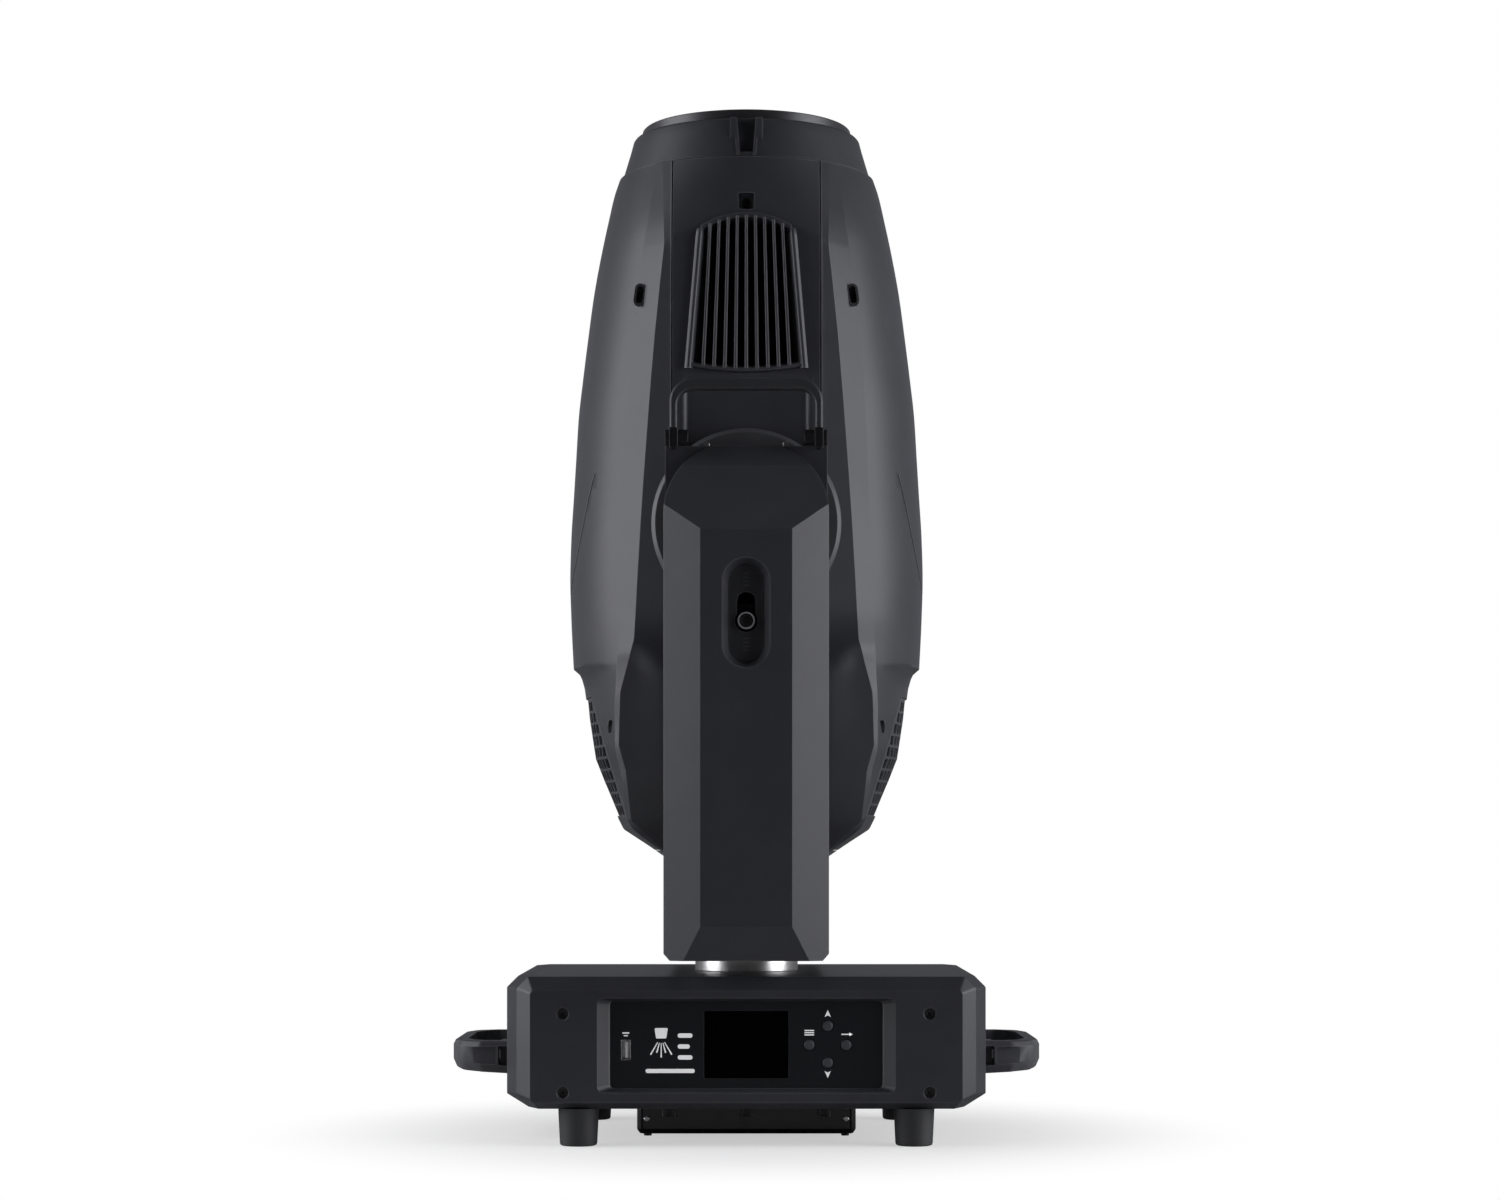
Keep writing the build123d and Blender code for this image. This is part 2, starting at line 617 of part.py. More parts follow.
def yoke_base_cover():
    """Bridge cover between the arms, over the pan drive."""
    half = ARM_HALF_WIDTH
    span = (-ARM_INNER_Y + GAP, ARM_INNER_Y - GAP)
    cover = block((-half, half), span, (YOKE_LOW + 4, CROSS_MEMBER_HIGH))
    room_half = half - COVER_WALL
    cover -= block((-room_half, room_half), (-150, 150), (100, CROSS_MEMBER_HIGH - COVER_WALL))
    return chamfer(cover.edges().filter_by(Axis.Y).group_by(Axis.Z)[-1], 4)


def yoke_frame():
    """Steel frame: floor channel, bridge over the pan gear and an upright in each arm."""
    floor = block((-50, 50), (-139.5, 139.5), (YOKE_LOW + 0.2, YOKE_LOW + 3))
    frame = floor - post(0, 0, (100, 160), NECK_RADIUS + 1)
    for side in (-1, 1):
        frame += block((side * 48, side * 50.5), (-118, 118), (YOKE_LOW + 0.2, 172))
    frame += block((-50, 50), (-42, 42), (167.5, 170.5))
    frame -= post(0, 0, (160, 175), 12)
    upright = block((-50, 50), (-128, -124), (YOKE_LOW + 1, 495))
    for side in (-1, 1):
        upright += block((side * 47, side * 50), (-150, -128), (YOKE_LOW + 4, 395))
    upright += spindle(0, TILT_Z, (-141, -128), 34)
    upright -= spindle(0, TILT_Z, (-145, -120), TILT_BEARING_RADIUS)
    rear_upright = rear(upright)
    for x in (-18.5, 18.5):
        for z in (TILT_MOTOR_Z - 10, TILT_MOTOR_Z + 10):
            upright += spindle(x, z, (-154, -128), 2.5)
    bail_bosses = block((-48, 48), (-128, -124), (495, 503))
    frame += upright + rear_upright + bail_bosses + rear(bail_bosses)
    frame += block((-21, 21), (PAN_MOTOR_Y - 21, PAN_MOTOR_Y + 21), (152.5, 154.5))
    for side in (-1, 1):
        frame += block((side * 21, side * 50), (PAN_MOTOR_Y - 10, PAN_MOTOR_Y + 10), (152.5, 154.5))
    return frame - post(0, PAN_MOTOR_Y, (150, 160), 6)


def pan_shaft():
    """Hollow shaft hanging from the bridge, with its retaining nut."""
    shaft = post(0, 0, (96, 167.5), PAN_SHAFT_RADIUS) + post(0, 0, (163.8, 167.5), 36)
    shaft -= post(0, 0, (90, 170), 11)
    nut = post(0, 0, (98, 104), 22) - post(0, 0, (97, 105), PAN_SHAFT_RADIUS)
    return shaft, nut


def tilt_bearings():
    ring = spindle(0, TILT_Z, (-140, -125), TILT_BEARING_RADIUS)
    ring -= spindle(0, TILT_Z, (-141, -124), TILT_SHAFT_RADIUS + RUN)
    return ring, rear(ring)


def drive_motors():
    """Pan motor above the bridge floor and tilt motor in the front arm."""
    pan = block((-21, 21), (PAN_MOTOR_Y - 21, PAN_MOTOR_Y + 21), (154.5, 179))
    pan += post(0, PAN_MOTOR_Y, (142.5, 155), 3.0)
    tilt = block((-21, 21), (-190, -154), (TILT_MOTOR_Z - 21, TILT_MOTOR_Z + 21))
    tilt += spindle(0, TILT_MOTOR_Z, (-154, -142), 3.0)
    return pan, tilt


def pan_pulley():
    low, high = PAN_BELT_Z
    wheel = post(0, PAN_MOTOR_Y, (low, high), PAN_PULLEY_RADIUS)
    return wheel - post(0, PAN_MOTOR_Y, (low - 1, high + 1), 3.0 + RUN)


def tilt_pulley():
    low, high = -TILT_BELT_Y[1], -TILT_BELT_Y[0]
    wheel = spindle(0, TILT_MOTOR_Z, (low, high), TILT_PULLEY_RADIUS)
    return wheel - spindle(0, TILT_MOTOR_Z, (low - 1, high + 1), 3.0 + RUN)


def belt_outline(big, small, distance, grow):
    """Area inside a belt around a big wheel at the origin and a small one up the local Y axis."""
    lean = math.asin((big - small) / distance)
    big += grow
    small += grow
    right = [
        (big * math.cos(lean), big * math.sin(lean)),
        (small * math.cos(lean), distance + small * math.sin(lean)),
    ]
    runs = Polygon(*(right + [(-x, y) for x, y in reversed(right)]), align=None)
    return Circle(big) + Pos(0, distance) * Circle(small) + runs


def belt(big, small, distance):
    inside = belt_outline(big, small, distance, BELT_GAP)
    outside = belt_outline(big, small, distance, BELT_GAP + BELT_THICKNESS)
    return outside - inside


def drive_belts():
    low, high = PAN_BELT_Z
    loop = belt(PAN_GEAR_RADIUS, PAN_PULLEY_RADIUS, PAN_MOTOR_Y)
    pan = extrude(Plane.XY.offset(low + 0.5) * loop, high - low - 1)
    near, far = TILT_BELT_Y
    loop = belt(TILT_GEAR_RADIUS, TILT_PULLEY_RADIUS, TILT_Z - TILT_MOTOR_Z)
    plane = Plane(origin=(0, -near - 0.5, TILT_Z), x_dir=(-1, 0, 0), z_dir=(0, -1, 0))
    tilt = extrude(plane * loop, far - near - 1)
    return pan, tilt


def bail_brackets():
    """Clevis ears on top of the front arm with the pins that carry the lifting bail."""
    span = (BAIL_Y[0] - 21, BAIL_Y[1])
    low, high = ARM_BLOCK_HIGH, BAIL_PIVOT_Z + 6
    pieces = []
    for side in (-1, 1):
        inner_ear = block((side * 42, side * 49.2), (-span[0], -span[1]), (low, high))
        outer_ear = block((side * 55.8, side * 58.5), (-span[0], -span[1]), (low, high))
        web = block((side * 42, side * 58.5), (-span[0], -span[0] - 8), (low, high))
        pin_place = Pos(side * 52, -sum(BAIL_Y) / 2, BAIL_PIVOT_Z)
        pin = pin_place * Rot(0, 90, 0) * Cylinder(BAIL_PIN_RADIUS, 11)
        pieces.append(inner_ear + outer_ear + web + pin)
    return pieces


def bail():
    """Hinged lifting handle of the front arm, standing up at rest."""
    y = (-BAIL_Y[1], -BAIL_Y[0])
    corner = 16.0
    outer = block((-BAIL_HALF_WIDTH, BAIL_HALF_WIDTH), y, (BAIL_PIVOT_Z - 8, BAIL_HIGH))
    outer = fillet(outer.edges().filter_by(Axis.Y).group_by(Axis.Z)[-1], corner)
    inner_half = BAIL_HALF_WIDTH - BAIL_LEG
    window = block((-inner_half, inner_half), (-200, -100), (BAIL_PIVOT_Z - 30, BAIL_HIGH - BAIL_BAR))
    window = fillet(window.edges().filter_by(Axis.Y).group_by(Axis.Z)[-1], corner - BAIL_LEG)
    handle = outer - window
    pivot = Pos(0, sum(y) / 2, BAIL_PIVOT_Z) * Rot(0, 90, 0)
    handle -= pivot * Cylinder(BAIL_PIN_RADIUS + RUN, 200)
    return handle


def tilt_lock():
    """Sliding knob with the tongue that stops the tilt gear."""
    knob = spindle(0, LOCK_KNOB_Z, (-194.5, -LOCK_PLATE_Y[0]), LOCK_SLOT_RADIUS - RUN)
    knob -= spindle(0, LOCK_KNOB_Z, (-196, -191), 3.6)
    plate = block((-12, 12), (-LOCK_PLATE_Y[1], -LOCK_PLATE_Y[0]), (LOCK_KNOB_Z - 18, LOCK_KNOB_Z + 12))
    arm = block((-5, 5), (-LOCK_PLATE_Y[0], -146), (LOCK_KNOB_Z - 3, LOCK_KNOB_Z + 3))
    tongue_high = TILT_Z - TILT_GEAR_RADIUS - 1 - LOCK_TRAVEL
    tongue = block((-5, 5), (-151, -146), (LOCK_KNOB_Z + 3, tongue_high))
    return knob + plate + arm + tongue


# ---------------------------------------------------------------- head

# Cross-sections of the head, from the nose down. Each is (height, half width at the middle,
# (x, y) where the flat front ends, (x, y) where the rounded flank starts).
HEAD_SECTIONS = [
    (HEAD_TOP, NOSE_RADIUS, (56.0, 80.4), (66.0, 72.4)),
    (672.0, 112.3, (60.5, 107.0), (75.0, 92.5)),
    (600.0, 123.5, (66.3, HEAD_HALF_DEPTH), (84.2, 90.0)),
    (530.0, 130.6, (72.5, HEAD_HALF_DEPTH), (89.2, 91.3)),
    (TILT_Z, 135.0, (78.5, HEAD_HALF_DEPTH), (91.8, 94.7)),
    (HEAD_STEP_Z, 133.0, (83.0, HEAD_HALF_DEPTH - 0.3), (94.8, 96.0)),
]
TAIL_SECTIONS = [
    (HEAD_STEP_Z, 128.5, (83.0, HEAD_HALF_DEPTH - 0.3), (94.8, 96.0)),
    (330.0, 123.0, (93.0, 105.5), (101.0, 92.0)),
    (280.0, 114.3, (90.5, 98.0), (97.0, 84.0)),
    (236.0, 95.5, (84.5, 87.0), (87.0, 76.0)),
    (HEAD_BOTTOM, 48.0, (40.0, 66.0), (44.0, 58.0)),
]


def head_section(height, half_width, front, flank, wall):
    """One closed cross-section, drawn in by wall."""
    front_x, front_y = front[0] - wall / 2, front[1] - wall
    flank_x, flank_y = flank[0] - wall * 0.8, flank[1] - wall * 0.8
    side_x = half_width - wall
    bulge = NOSE_RADIUS - wall if height == HEAD_TOP else front_y + 0.2
    edges = [
        ThreePointArc((-front_x, -front_y), (0, -bulge), (front_x, -front_y)),
        Line((front_x, -front_y), (flank_x, -flank_y)),
        ThreePointArc((flank_x, -flank_y), (side_x, 0), (flank_x, flank_y)),
        Line((flank_x, flank_y), (front_x, front_y)),
        ThreePointArc((front_x, front_y), (0, bulge), (-front_x, front_y)),
        Line((-front_x, front_y), (-flank_x, flank_y)),
        ThreePointArc((-flank_x, flank_y), (-side_x, 0), (-flank_x, -flank_y)),
        Line((-flank_x, -flank_y), (-front_x, -front_y)),
    ]
    return Plane.XY.offset(height) * make_face(edges)


def head_form(sections, wall, stretch=0.0):
    """Solid head form between the first and last section."""
    faces = []
    for index, (height, half_width, front, flank) in enumerate(sections):
        if index == len(sections) - 1:
            height += stretch
        faces.append(head_section(height, half_width, front, flank, wall))
    return loft(faces, ruled=True)


def upper_shell():
    """Hollow upper head, open at both ends, with the vents and the fastener holes."""
    shell = head_form(HEAD_SECTIONS, 0.0) - head_form(HEAD_SECTIONS, WALL)
    for side in (-1, 1):
        depth = (side * 70, side * 130)
        shell -= prism_y(vent_outline(0.2), depth)
        shell -= spindle(0, 696, depth, 4.2)
        shell -= spindle(0, TILT_Z, depth, NECK_RADIUS + 0.2)
        for x in (-79, 79):
            shell -= spindle(x, 629, depth, 4.2)
    return shell


def vent_outline(grow):
    """Trapezoid of the vent, wider at the bottom."""
    low, high = 571.0 - grow, 686.0 + grow
    low_half, high_half = 45.5 + grow, 36.0 + grow
    return [(-low_half, low), (low_half, low), (high_half, high), (-high_half, high)]


def side_plate(shell):
    half = HEAD_SEAM_X - GAP
    return shell & block((-half, half), (-130, -40), (HEAD_STEP_Z + GAP, HEAD_TOP))


def head_cover(shell):
    return shell & block((HEAD_SEAM_X + GAP, 150), (-130, 130), (HEAD_STEP_Z + GAP, HEAD_TOP))


def vent_grille():
    """Raised frame with nine flaring slats over the front vent."""
    depth = (-113.5, -96.5)
    frame = prism_y(vent_outline(0.0), depth)
    low, high, low_half, high_half = 576.0, 681.0, 39.2, 30.3
    opening = [(-low_half, low), (low_half, low), (high_half, high), (-high_half, high)]
    grille = frame - prism_y(opening, (-120, -90))
    for index in range(9):
        share = (index - 4) / 5
        foot, tip = share * low_half, share * high_half
        slat = [(foot - 1.8, low - 1), (foot + 1.8, low - 1), (tip + 1.4, high + 1), (tip - 1.4, high + 1)]
        grille += prism_y(slat, (-112.0, -100.0))
    return grille


def tail_window(grow):
    return block((60, 150), (-56 - grow, 56 + grow), (246 - grow, 330 + grow))


def rear_cap():
    """Hollow tail with side windows for the grilles and air slots in its floor."""
    outer = head_form(TAIL_SECTIONS, 0.0)
    inner = head_form(TAIL_SECTIONS, WALL, stretch=WALL)
    cap = outer - inner
    cap -= tail_window(GAP)
    cap -= left(tail_window(GAP))
    for x in (-30, -20, -10, 0, 10, 20, 30):
        cap -= block((x - 2.5, x + 2.5), (-34, 34), (HEAD_BOTTOM - 1, HEAD_BOTTOM + 8))
    for hole in all_corners(spindle(100, 308, (-130, -40), 2.6)):
        cap -= hole
    return cap


def rear_grille():
    """Curved grille of the right tail window, with slots in rows."""
    shell = head_form(TAIL_SECTIONS, 0.0) - head_form(TAIL_SECTIONS, WALL, stretch=WALL)
    grille = shell & tail_window(0.0)
    for row, z in enumerate(range(254, 326, 8)):
        shift = 3.5 if row % 2 else -3.5
        for step in range(-3, 4):
            y = 14 * step + shift
            grille -= block((60, 150), (y - 4.5, y + 4.5), (z - 1.6, z + 1.6))
    return grille


def nose_cover():
    """Tapered ring behind the front rim, with a notch at the front and the rear."""
    profile = [
        (90.0, HEAD_TOP + GAP),
        (95.3, HEAD_TOP + GAP),
        (92.0, 743.0),
        (89.0, 753.0),
        (86.5, 762.0),
        (RIM_RADIUS + GAP, 765.0),
        (RIM_RADIUS + GAP, 756.0),
        (86.0, 752.0),
    ]
    cover = revolve(Plane.XZ * Polygon(*profile, align=None), Axis.Z)
    for side in (-1, 1):
        cover -= block((-4, 4), (side * 90, side * 110), (738, 758))
    return cover


def front_rim():
    """Ring that holds the front lens."""
    rim = post(0, 0, (752, RIM_HIGH), RIM_RADIUS) - post(0, 0, (750, RIM_HIGH + 1), LENS_RADIUS + GAP)
    seat = post(0, 0, (752, 755), RIM_RADIUS) - post(0, 0, (750, 756), LENS_RADIUS - 4)
    return rim + seat


def front_lens():
    """Convex lens with a flat back."""
    edge_z, crown_z = 759.0, 767.5
    rise = crown_z - edge_z
    sphere_radius = (LENS_RADIUS**2 + rise**2) / (2 * rise)
    ball = Pos(0, 0, crown_z - sphere_radius) * Sphere(sphere_radius)
    return ball & post(0, 0, (755, 775), LENS_RADIUS)


def tilt_hub():
    """Front trunnion: disc against the side plate, spigot to the frame and hollow stub shaft."""
    near, far = HUB_Y
    disc = spindle(0, TILT_Z, (-far, -near), HUB_RADIUS)
    disc = chamfer(disc.edges().group_by(Axis.Y)[0], 3)
    hub = disc + spindle(0, TILT_Z, (-near, -FRAME_Y[1]), NECK_RADIUS)
    hub += spindle(0, TILT_Z, (-143.5, -far), TILT_SHAFT_RADIUS)
    return hub - spindle(0, TILT_Z, (-150, -90), 13)


def tilt_gear():
    """Belt wheel on the end of the front stub shaft."""
    near, far = TILT_BELT_Y
    wheel = spindle(0, TILT_Z, (-far, -near + 0.5), TILT_GEAR_RADIUS)
    wheel -= spindle(0, TILT_Z, (-160, -140), 13)
    for index in range(6):
        angle = math.radians(60 * index)
        wheel -= spindle(29 * math.cos(angle), TILT_Z + 29 * math.sin(angle), (-160, -140), 6.5)
    return wheel


def screw_tab(x, y, z):
    """Tab that stands on the lens deck behind a cover screw."""
    tab = block((x - 6, x + 6), (y, y + 4), (LENS_DECK_Z + 3, z + 7))
    return tab - spindle(x, z, (y - 5, y + 9), 2.0)


def head_frame():
    """Side plates, lamp deck, lens deck and front ring of the head."""
    plate = block((-46, 46), (-FRAME_Y[1], -FRAME_Y[0]), (330, LENS_DECK_Z + 6))
    plate -= spindle(0, TILT_Z, (-110, -90), 13)
    frame = plate + rear(plate)
    lamp_deck = block((-78, 78), (-98, 98), (LAMP_DECK_Z, LAMP_DECK_Z + 3))
    frame += lamp_deck - post(0, 0, (340, 360), 34)
    lens_deck = block((-86, 86), (-82, 82), (LENS_DECK_Z, LENS_DECK_Z + 3))
    lens_deck += block((-46, 46), (-98, 98), (LENS_DECK_Z, LENS_DECK_Z + 3))
    frame += lens_deck - post(0, 0, (LENS_DECK_Z - 9, LENS_DECK_Z + 9), 58)
    for leg in all_corners(post(50, -50, (LENS_DECK_Z + 3, 735), 4)):
        frame += leg
    ring = post(0, 0, (735, 738), 78) - post(0, 0, (730, 740), 64)
    frame += ring
    for side in (-1, 1):
        tabs = screw_tab(0, -92, 696) + screw_tab(79, -80, 629) + screw_tab(-79, -80, 629)
        frame += tabs if side < 0 else rear(tabs)
    frame += post(GOBO_AXIS_X, 0, (LAMP_DECK_Z, GOBO_Z - 2), 6)
    frame += post(GOBO_AXIS_X, 0, (GOBO_Z - 2, GOBO_Z + 8), 3)
    return frame


def head_screws():
    """Cover screws: two in the side plates and four in the flanks."""
    pieces = []
    middle = spindle(0, 696, (-101, -97.5), 3.6) + spindle(0, 696, (-97.5, -86), 2.0)
    pieces += [middle, rear(middle)]
    flank = spindle(79, 629, (-89, -85.5), 3.6) + spindle(79, 629, (-85.5, -74), 2.0)
    return pieces + all_corners(flank)


def heatsink():
    """Finned block under the lamp."""
    sink = block((-66, 66), (-66, 66), (318, 328))
    for index in range(12):
        x = -63 + index * 126 / 11
        sink += block((x - 1.2, x + 1.2), (-64, 64), (252, 319))
    return sink


def led_engine():
    """Light source on the heatsink, with its collecting lens."""
    engine = block((-40, 40), (-40, 40), (328, 346))
    return engine + post(0, 0, (346, 368), 28)


def fan_frame():
    """Square fan housing below the heatsink."""
    housing = block((-50, 50), (-50, 50), FAN_Z)
    housing -= post(0, 0, (FAN_Z[0] - 1, FAN_Z[1] + 1), 47)
    bar = block((-50, 50), (-3, 3), (FAN_Z[1] - 3, FAN_Z[1]))
    bar += block((-3, 3), (-50, 50), (FAN_Z[1] - 3, FAN_Z[1]))
    return housing + bar + post(0, 0, (FAN_Z[0] + 6, FAN_Z[1]), 4)


def fan_rotor():
    """Hub with seven pitched blades, turning on the housing's pin."""
    low, high = FAN_Z[0] + 2, FAN_Z[1] - 4
    hub = post(0, 0, (low, high), 18)
    rotor = hub
    for index in range(7):
        blade = Pos(31, 0, (low + high) / 2) * Rot(35, 0, 0) * Box(28, 17, 1.6)
        rotor += Rot(0, 0, index * 360 / 7) * blade
    return rotor - post(0, 0, (FAN_Z[0], FAN_Z[1]), 4 + RUN)


def guide_rods():
    return [post(x, y, (LAMP_DECK_Z + 3, LENS_DECK_Z), ROD_RADIUS) for x, y in ROD_PLACES]


def lens_carriage(low):
    """Lens in a plate that slides on the four rods."""
    plate = block((-44, 44), (-95, 95), (low, low + 4))
    plate -= post(0, 0, (low - 1, low + 5), 40)
    for x, y in ROD_PLACES:
        plate -= post(x, y, (low - 1, low + 5), ROD_RADIUS + RUN)
    lens = post(0, 0, (low - 4, low + 8), 40)
    return plate, lens


def gobo_wheel():
    """Pattern wheel on its own pin, seven apertures."""
    wheel = post(GOBO_AXIS_X, 0, (GOBO_Z, GOBO_Z + 2), 58)
    wheel -= post(GOBO_AXIS_X, 0, (GOBO_Z - 1, GOBO_Z + 3), 3 + RUN)
    for index in range(7):
        angle = math.pi + math.radians(index * 360 / 7)
        x = GOBO_AXIS_X + 42 * math.cos(angle)
        y = 42 * math.sin(angle)
        wheel -= post(x, y, (GOBO_Z - 1, GOBO_Z + 3), 13)
    return wheel


# ---------------------------------------------------------------- write every node

os.makedirs("parts", exist_ok=True)

# base
save("base_chassis", chassis())
save("base_top_plate", top_plate())
save("front_end_cover", front_cover_with_opening())
save("rear_end_cover", rear_cover_with_opening())
save("base_screws", *base_screws(), *bottom_screws())
save("side_handles", side_handle(), left(side_handle()))
save("rubber_feet", *all_corners(foot()))
save("bottom_cover", bottom_cover())
save("safety_cable_eye", safety_eye())
save("control_panel", control_panel())
save("display_screen", screen())
save("usb_socket", usb_socket())
save("control_board", control_board())
save("rear_connector_plate", connector_plate())
save("rear_sockets", *rear_sockets())
save("power_supply", power_supply())
save("pan_hub", pan_hub())
save("pan_bearings", *pan_bearings())
save("pan_gear", pan_gear())
for node, place in BUTTON_PLACES.items():
    save(node, button(*place))

# yoke
save("yoke_frame", yoke_frame())
save("arm_cover_front", front_arm_cover())
save("arm_cover_rear", rear(arm_outer_cover()))
save("arm_inner_covers", arm_inner_cover(), rear(arm_inner_cover()))
save("yoke_base_cover", yoke_base_cover())
save("pan_shaft", *pan_shaft())
save("tilt_bearings", *tilt_bearings())
save("drive_motors", *drive_motors())
save("drive_belts", *drive_belts())
save("bail_brackets", *bail_brackets(), *[rear(piece) for piece in bail_brackets()])
save("arm_handle_front", bail())
save("arm_handle_rear", rear(bail()))
save("tilt_lock_knob", tilt_lock())
save("pan_motor_pulley", pan_pulley())
save("tilt_motor_pulley", tilt_pulley())

# head
hollow_head = upper_shell()
save("side_plate_front", side_plate(hollow_head))
save("side_plate_rear", rear(side_plate(hollow_head)))
save("head_cover_right", head_cover(hollow_head))
save("head_cover_left", left(head_cover(hollow_head)))
save("vent_grilles", vent_grille(), rear(vent_grille()))
save("rear_cap", rear_cap())
save("rear_grilles", rear_grille(), left(rear_grille()))
save("nose_cover", nose_cover())
save("front_rim", front_rim())
save("front_lens", front_lens())
save("tilt_hubs", tilt_hub(), rear(tilt_hub()))
save("tilt_gear", tilt_gear())
save("head_frame", head_frame())
save("head_screws", *head_screws())
save("heatsink", heatsink())
save("led_engine", led_engine())
save("fan_frame", fan_frame())
save("fan_rotor", fan_rotor())
save("guide_rods", *guide_rods())
save("zoom_carriage", *lens_carriage(430))
save("focus_carriage", *lens_carriage(495))
save("gobo_wheel", gobo_wheel())
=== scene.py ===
import math

import bmesh
import bpy
from mathutils import Matrix, Vector


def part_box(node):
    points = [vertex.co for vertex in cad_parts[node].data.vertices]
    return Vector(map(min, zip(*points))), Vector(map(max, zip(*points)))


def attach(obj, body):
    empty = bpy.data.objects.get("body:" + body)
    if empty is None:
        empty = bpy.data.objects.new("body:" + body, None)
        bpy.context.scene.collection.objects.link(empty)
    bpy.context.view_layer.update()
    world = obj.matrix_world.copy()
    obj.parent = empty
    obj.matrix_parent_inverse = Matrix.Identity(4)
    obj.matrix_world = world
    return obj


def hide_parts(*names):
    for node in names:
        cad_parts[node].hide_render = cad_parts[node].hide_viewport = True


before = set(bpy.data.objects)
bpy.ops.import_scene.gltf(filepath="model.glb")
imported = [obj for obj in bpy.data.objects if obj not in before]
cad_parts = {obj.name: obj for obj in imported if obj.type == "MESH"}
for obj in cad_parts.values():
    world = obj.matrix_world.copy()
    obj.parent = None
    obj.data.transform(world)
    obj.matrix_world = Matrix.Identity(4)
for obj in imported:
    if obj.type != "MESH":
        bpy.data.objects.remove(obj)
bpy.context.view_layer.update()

# Moving head stage light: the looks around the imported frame.
# Lengths of shapes are millimetres, measured in the frame (origin on the pan axis at floor level,
# +Z up, -Y towards the control panel), and become metres when a mesh is made. Places of the lamps
# and the camera are metres.
# An outline is a list of 2D points, and a shape is (points, faces).
MM = 0.001


def node_box(node):
    """Lowest and highest corner of a CAD node, in millimetres."""
    low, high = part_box(node)
    return [value / MM for value in low], [value / MM for value in high]


# ---------------------------------------------------------------- driving dimensions

COVER_LOW, COVER_HIGH = node_box("front_end_cover")
BASE_HALF_WIDTH = COVER_HIGH[0]
BASE_HALF_DEPTH = -COVER_LOW[1]
BASE_Z = (COVER_LOW[2], COVER_HIGH[2])
COVER_BACK_Y = COVER_HIGH[1]
SHOULDER = (-120.0, 168.5)            # (y, half width) where the end cover turns to its face
FACE_HALF_WIDTH = 158.0
FACE_Z = (32.7, 114.8)
SCREW_X = 134.0
SCREW_Z = (40.0, 97.6)

PANEL_Y = node_box("control_panel")[0][1]
PANEL_HALF_WIDTH = 99.7
PANEL_Z = (42.9, 106.8)
PANEL_MOUTH_HALF_WIDTH = 109.0
PANEL_MOUTH_Z = (40.0, 109.0)
SCREEN_HALF_WIDTH = 30.9
SCREEN_Z = (50.2, 99.5)
USB_BOX = node_box("usb_socket")

HANDLE_LOW, HANDLE_HIGH = node_box("side_handles")
HANDLE_ROOT = BASE_HALF_WIDTH + 0.1
HANDLE_REACH = HANDLE_HIGH[0]
HANDLE_HALF_LENGTH = HANDLE_HIGH[1]
HANDLE_Z = (HANDLE_LOW[2], HANDLE_HIGH[2])
PAN_BOSS_X = (-58, 0, 58)

ARM_LOW, ARM_HIGH = node_box("arm_cover_front")
ARM_HALF_WIDTH = ARM_HIGH[0]
ARM_OUTER_Y = ARM_LOW[1]
ARM_SPLIT_Y = ARM_HIGH[1]
ARM_FOOT_Z = ARM_LOW[2]
ARM_SHOULDER_Y = -185.0
ARM_FACET_HALF_WIDTH = 32.5
ARM_SLOPE = [(-200.0, 445.0), (-186.0, 463.0), (-165.0, 494.0), (-138.0, 513.0)]
ARM_BAND_Z = 163.0
ARM_BAND_FOOT_Y = -193.0
ARM_WALL = 2.5
BLOCK_TOP = node_box("arm_inner_covers")[1][2]

HUB_LOW, HUB_HIGH = node_box("tilt_hubs")
TILT_Z = (HUB_LOW[2] + HUB_HIGH[2]) / 2
BAIL_PIVOT_Z = 515.0

KNOB_LOW = node_box("tilt_lock_knob")[0]
LOCK_KNOB_Z = 380.2
POCKET_Z = 385.5
POCKET_FLOOR_Y = -191.5
LOCK_SLOT_Z = 386.85

HEAD_TOP = node_box("side_plate_front")[1][2]
HEAD_STEP_Z = 356.0
HEAD_BOTTOM = node_box("rear_cap")[0][2]
HEAD_HALF_DEPTH = 108.0
SEAM_X = 55.0
NOSE_RADIUS = 98.0
RIM_TOP = node_box("front_rim")[1][2]
RIM_RADIUS = node_box("front_rim")[1][0]
LENS_RADIUS = node_box("front_lens")[1][0]
LENS_BACK_Z = 755.0
LENS_EDGE_Z = 759.0
LENS_CROWN_Z = 767.5

# ---------------------------------------------------------------- outlines and shapes


def mirrored_outline(right):
    """Outline from its right half, given from the bottom up."""
    return right + [(-x, z) for x, z in reversed(right)]


def rounded(outline, radius, steps=4, closed=True):
    """Outline with its corners rounded. radius is one number, or one for each corner."""
    count = len(outline)
    radii = radius if isinstance(radius, (list, tuple)) else [radius] * count
    result = []
    for index, corner in enumerate(outline):
        if radii[index] <= 0 or (not closed and index in (0, count - 1)):
            result.append(tuple(corner))
            continue
        here = Vector(corner)
        before = Vector(outline[index - 1]) - here
        after = Vector(outline[(index + 1) % count]) - here
        half_angle = before.angle(after) / 2
        reach = min(radii[index] / math.tan(half_angle), before.length * 0.49, after.length * 0.49)
        true_radius = reach * math.tan(half_angle)
        bisector = (before.normalized() + after.normalized()).normalized()
        centre = here + bisector * true_radius / math.sin(half_angle)
        start = here + before.normalized() * reach - centre
        end = here + after.normalized() * reach - centre
        turn = start.angle_signed(end)
        for step in range(steps + 1):
            share = -turn * step / steps
            spoke = Vector((
                start.x * math.cos(share) - start.y * math.sin(share),
                start.x * math.sin(share) + start.y * math.cos(share),
            ))
            result.append(tuple(centre + spoke))
    return result


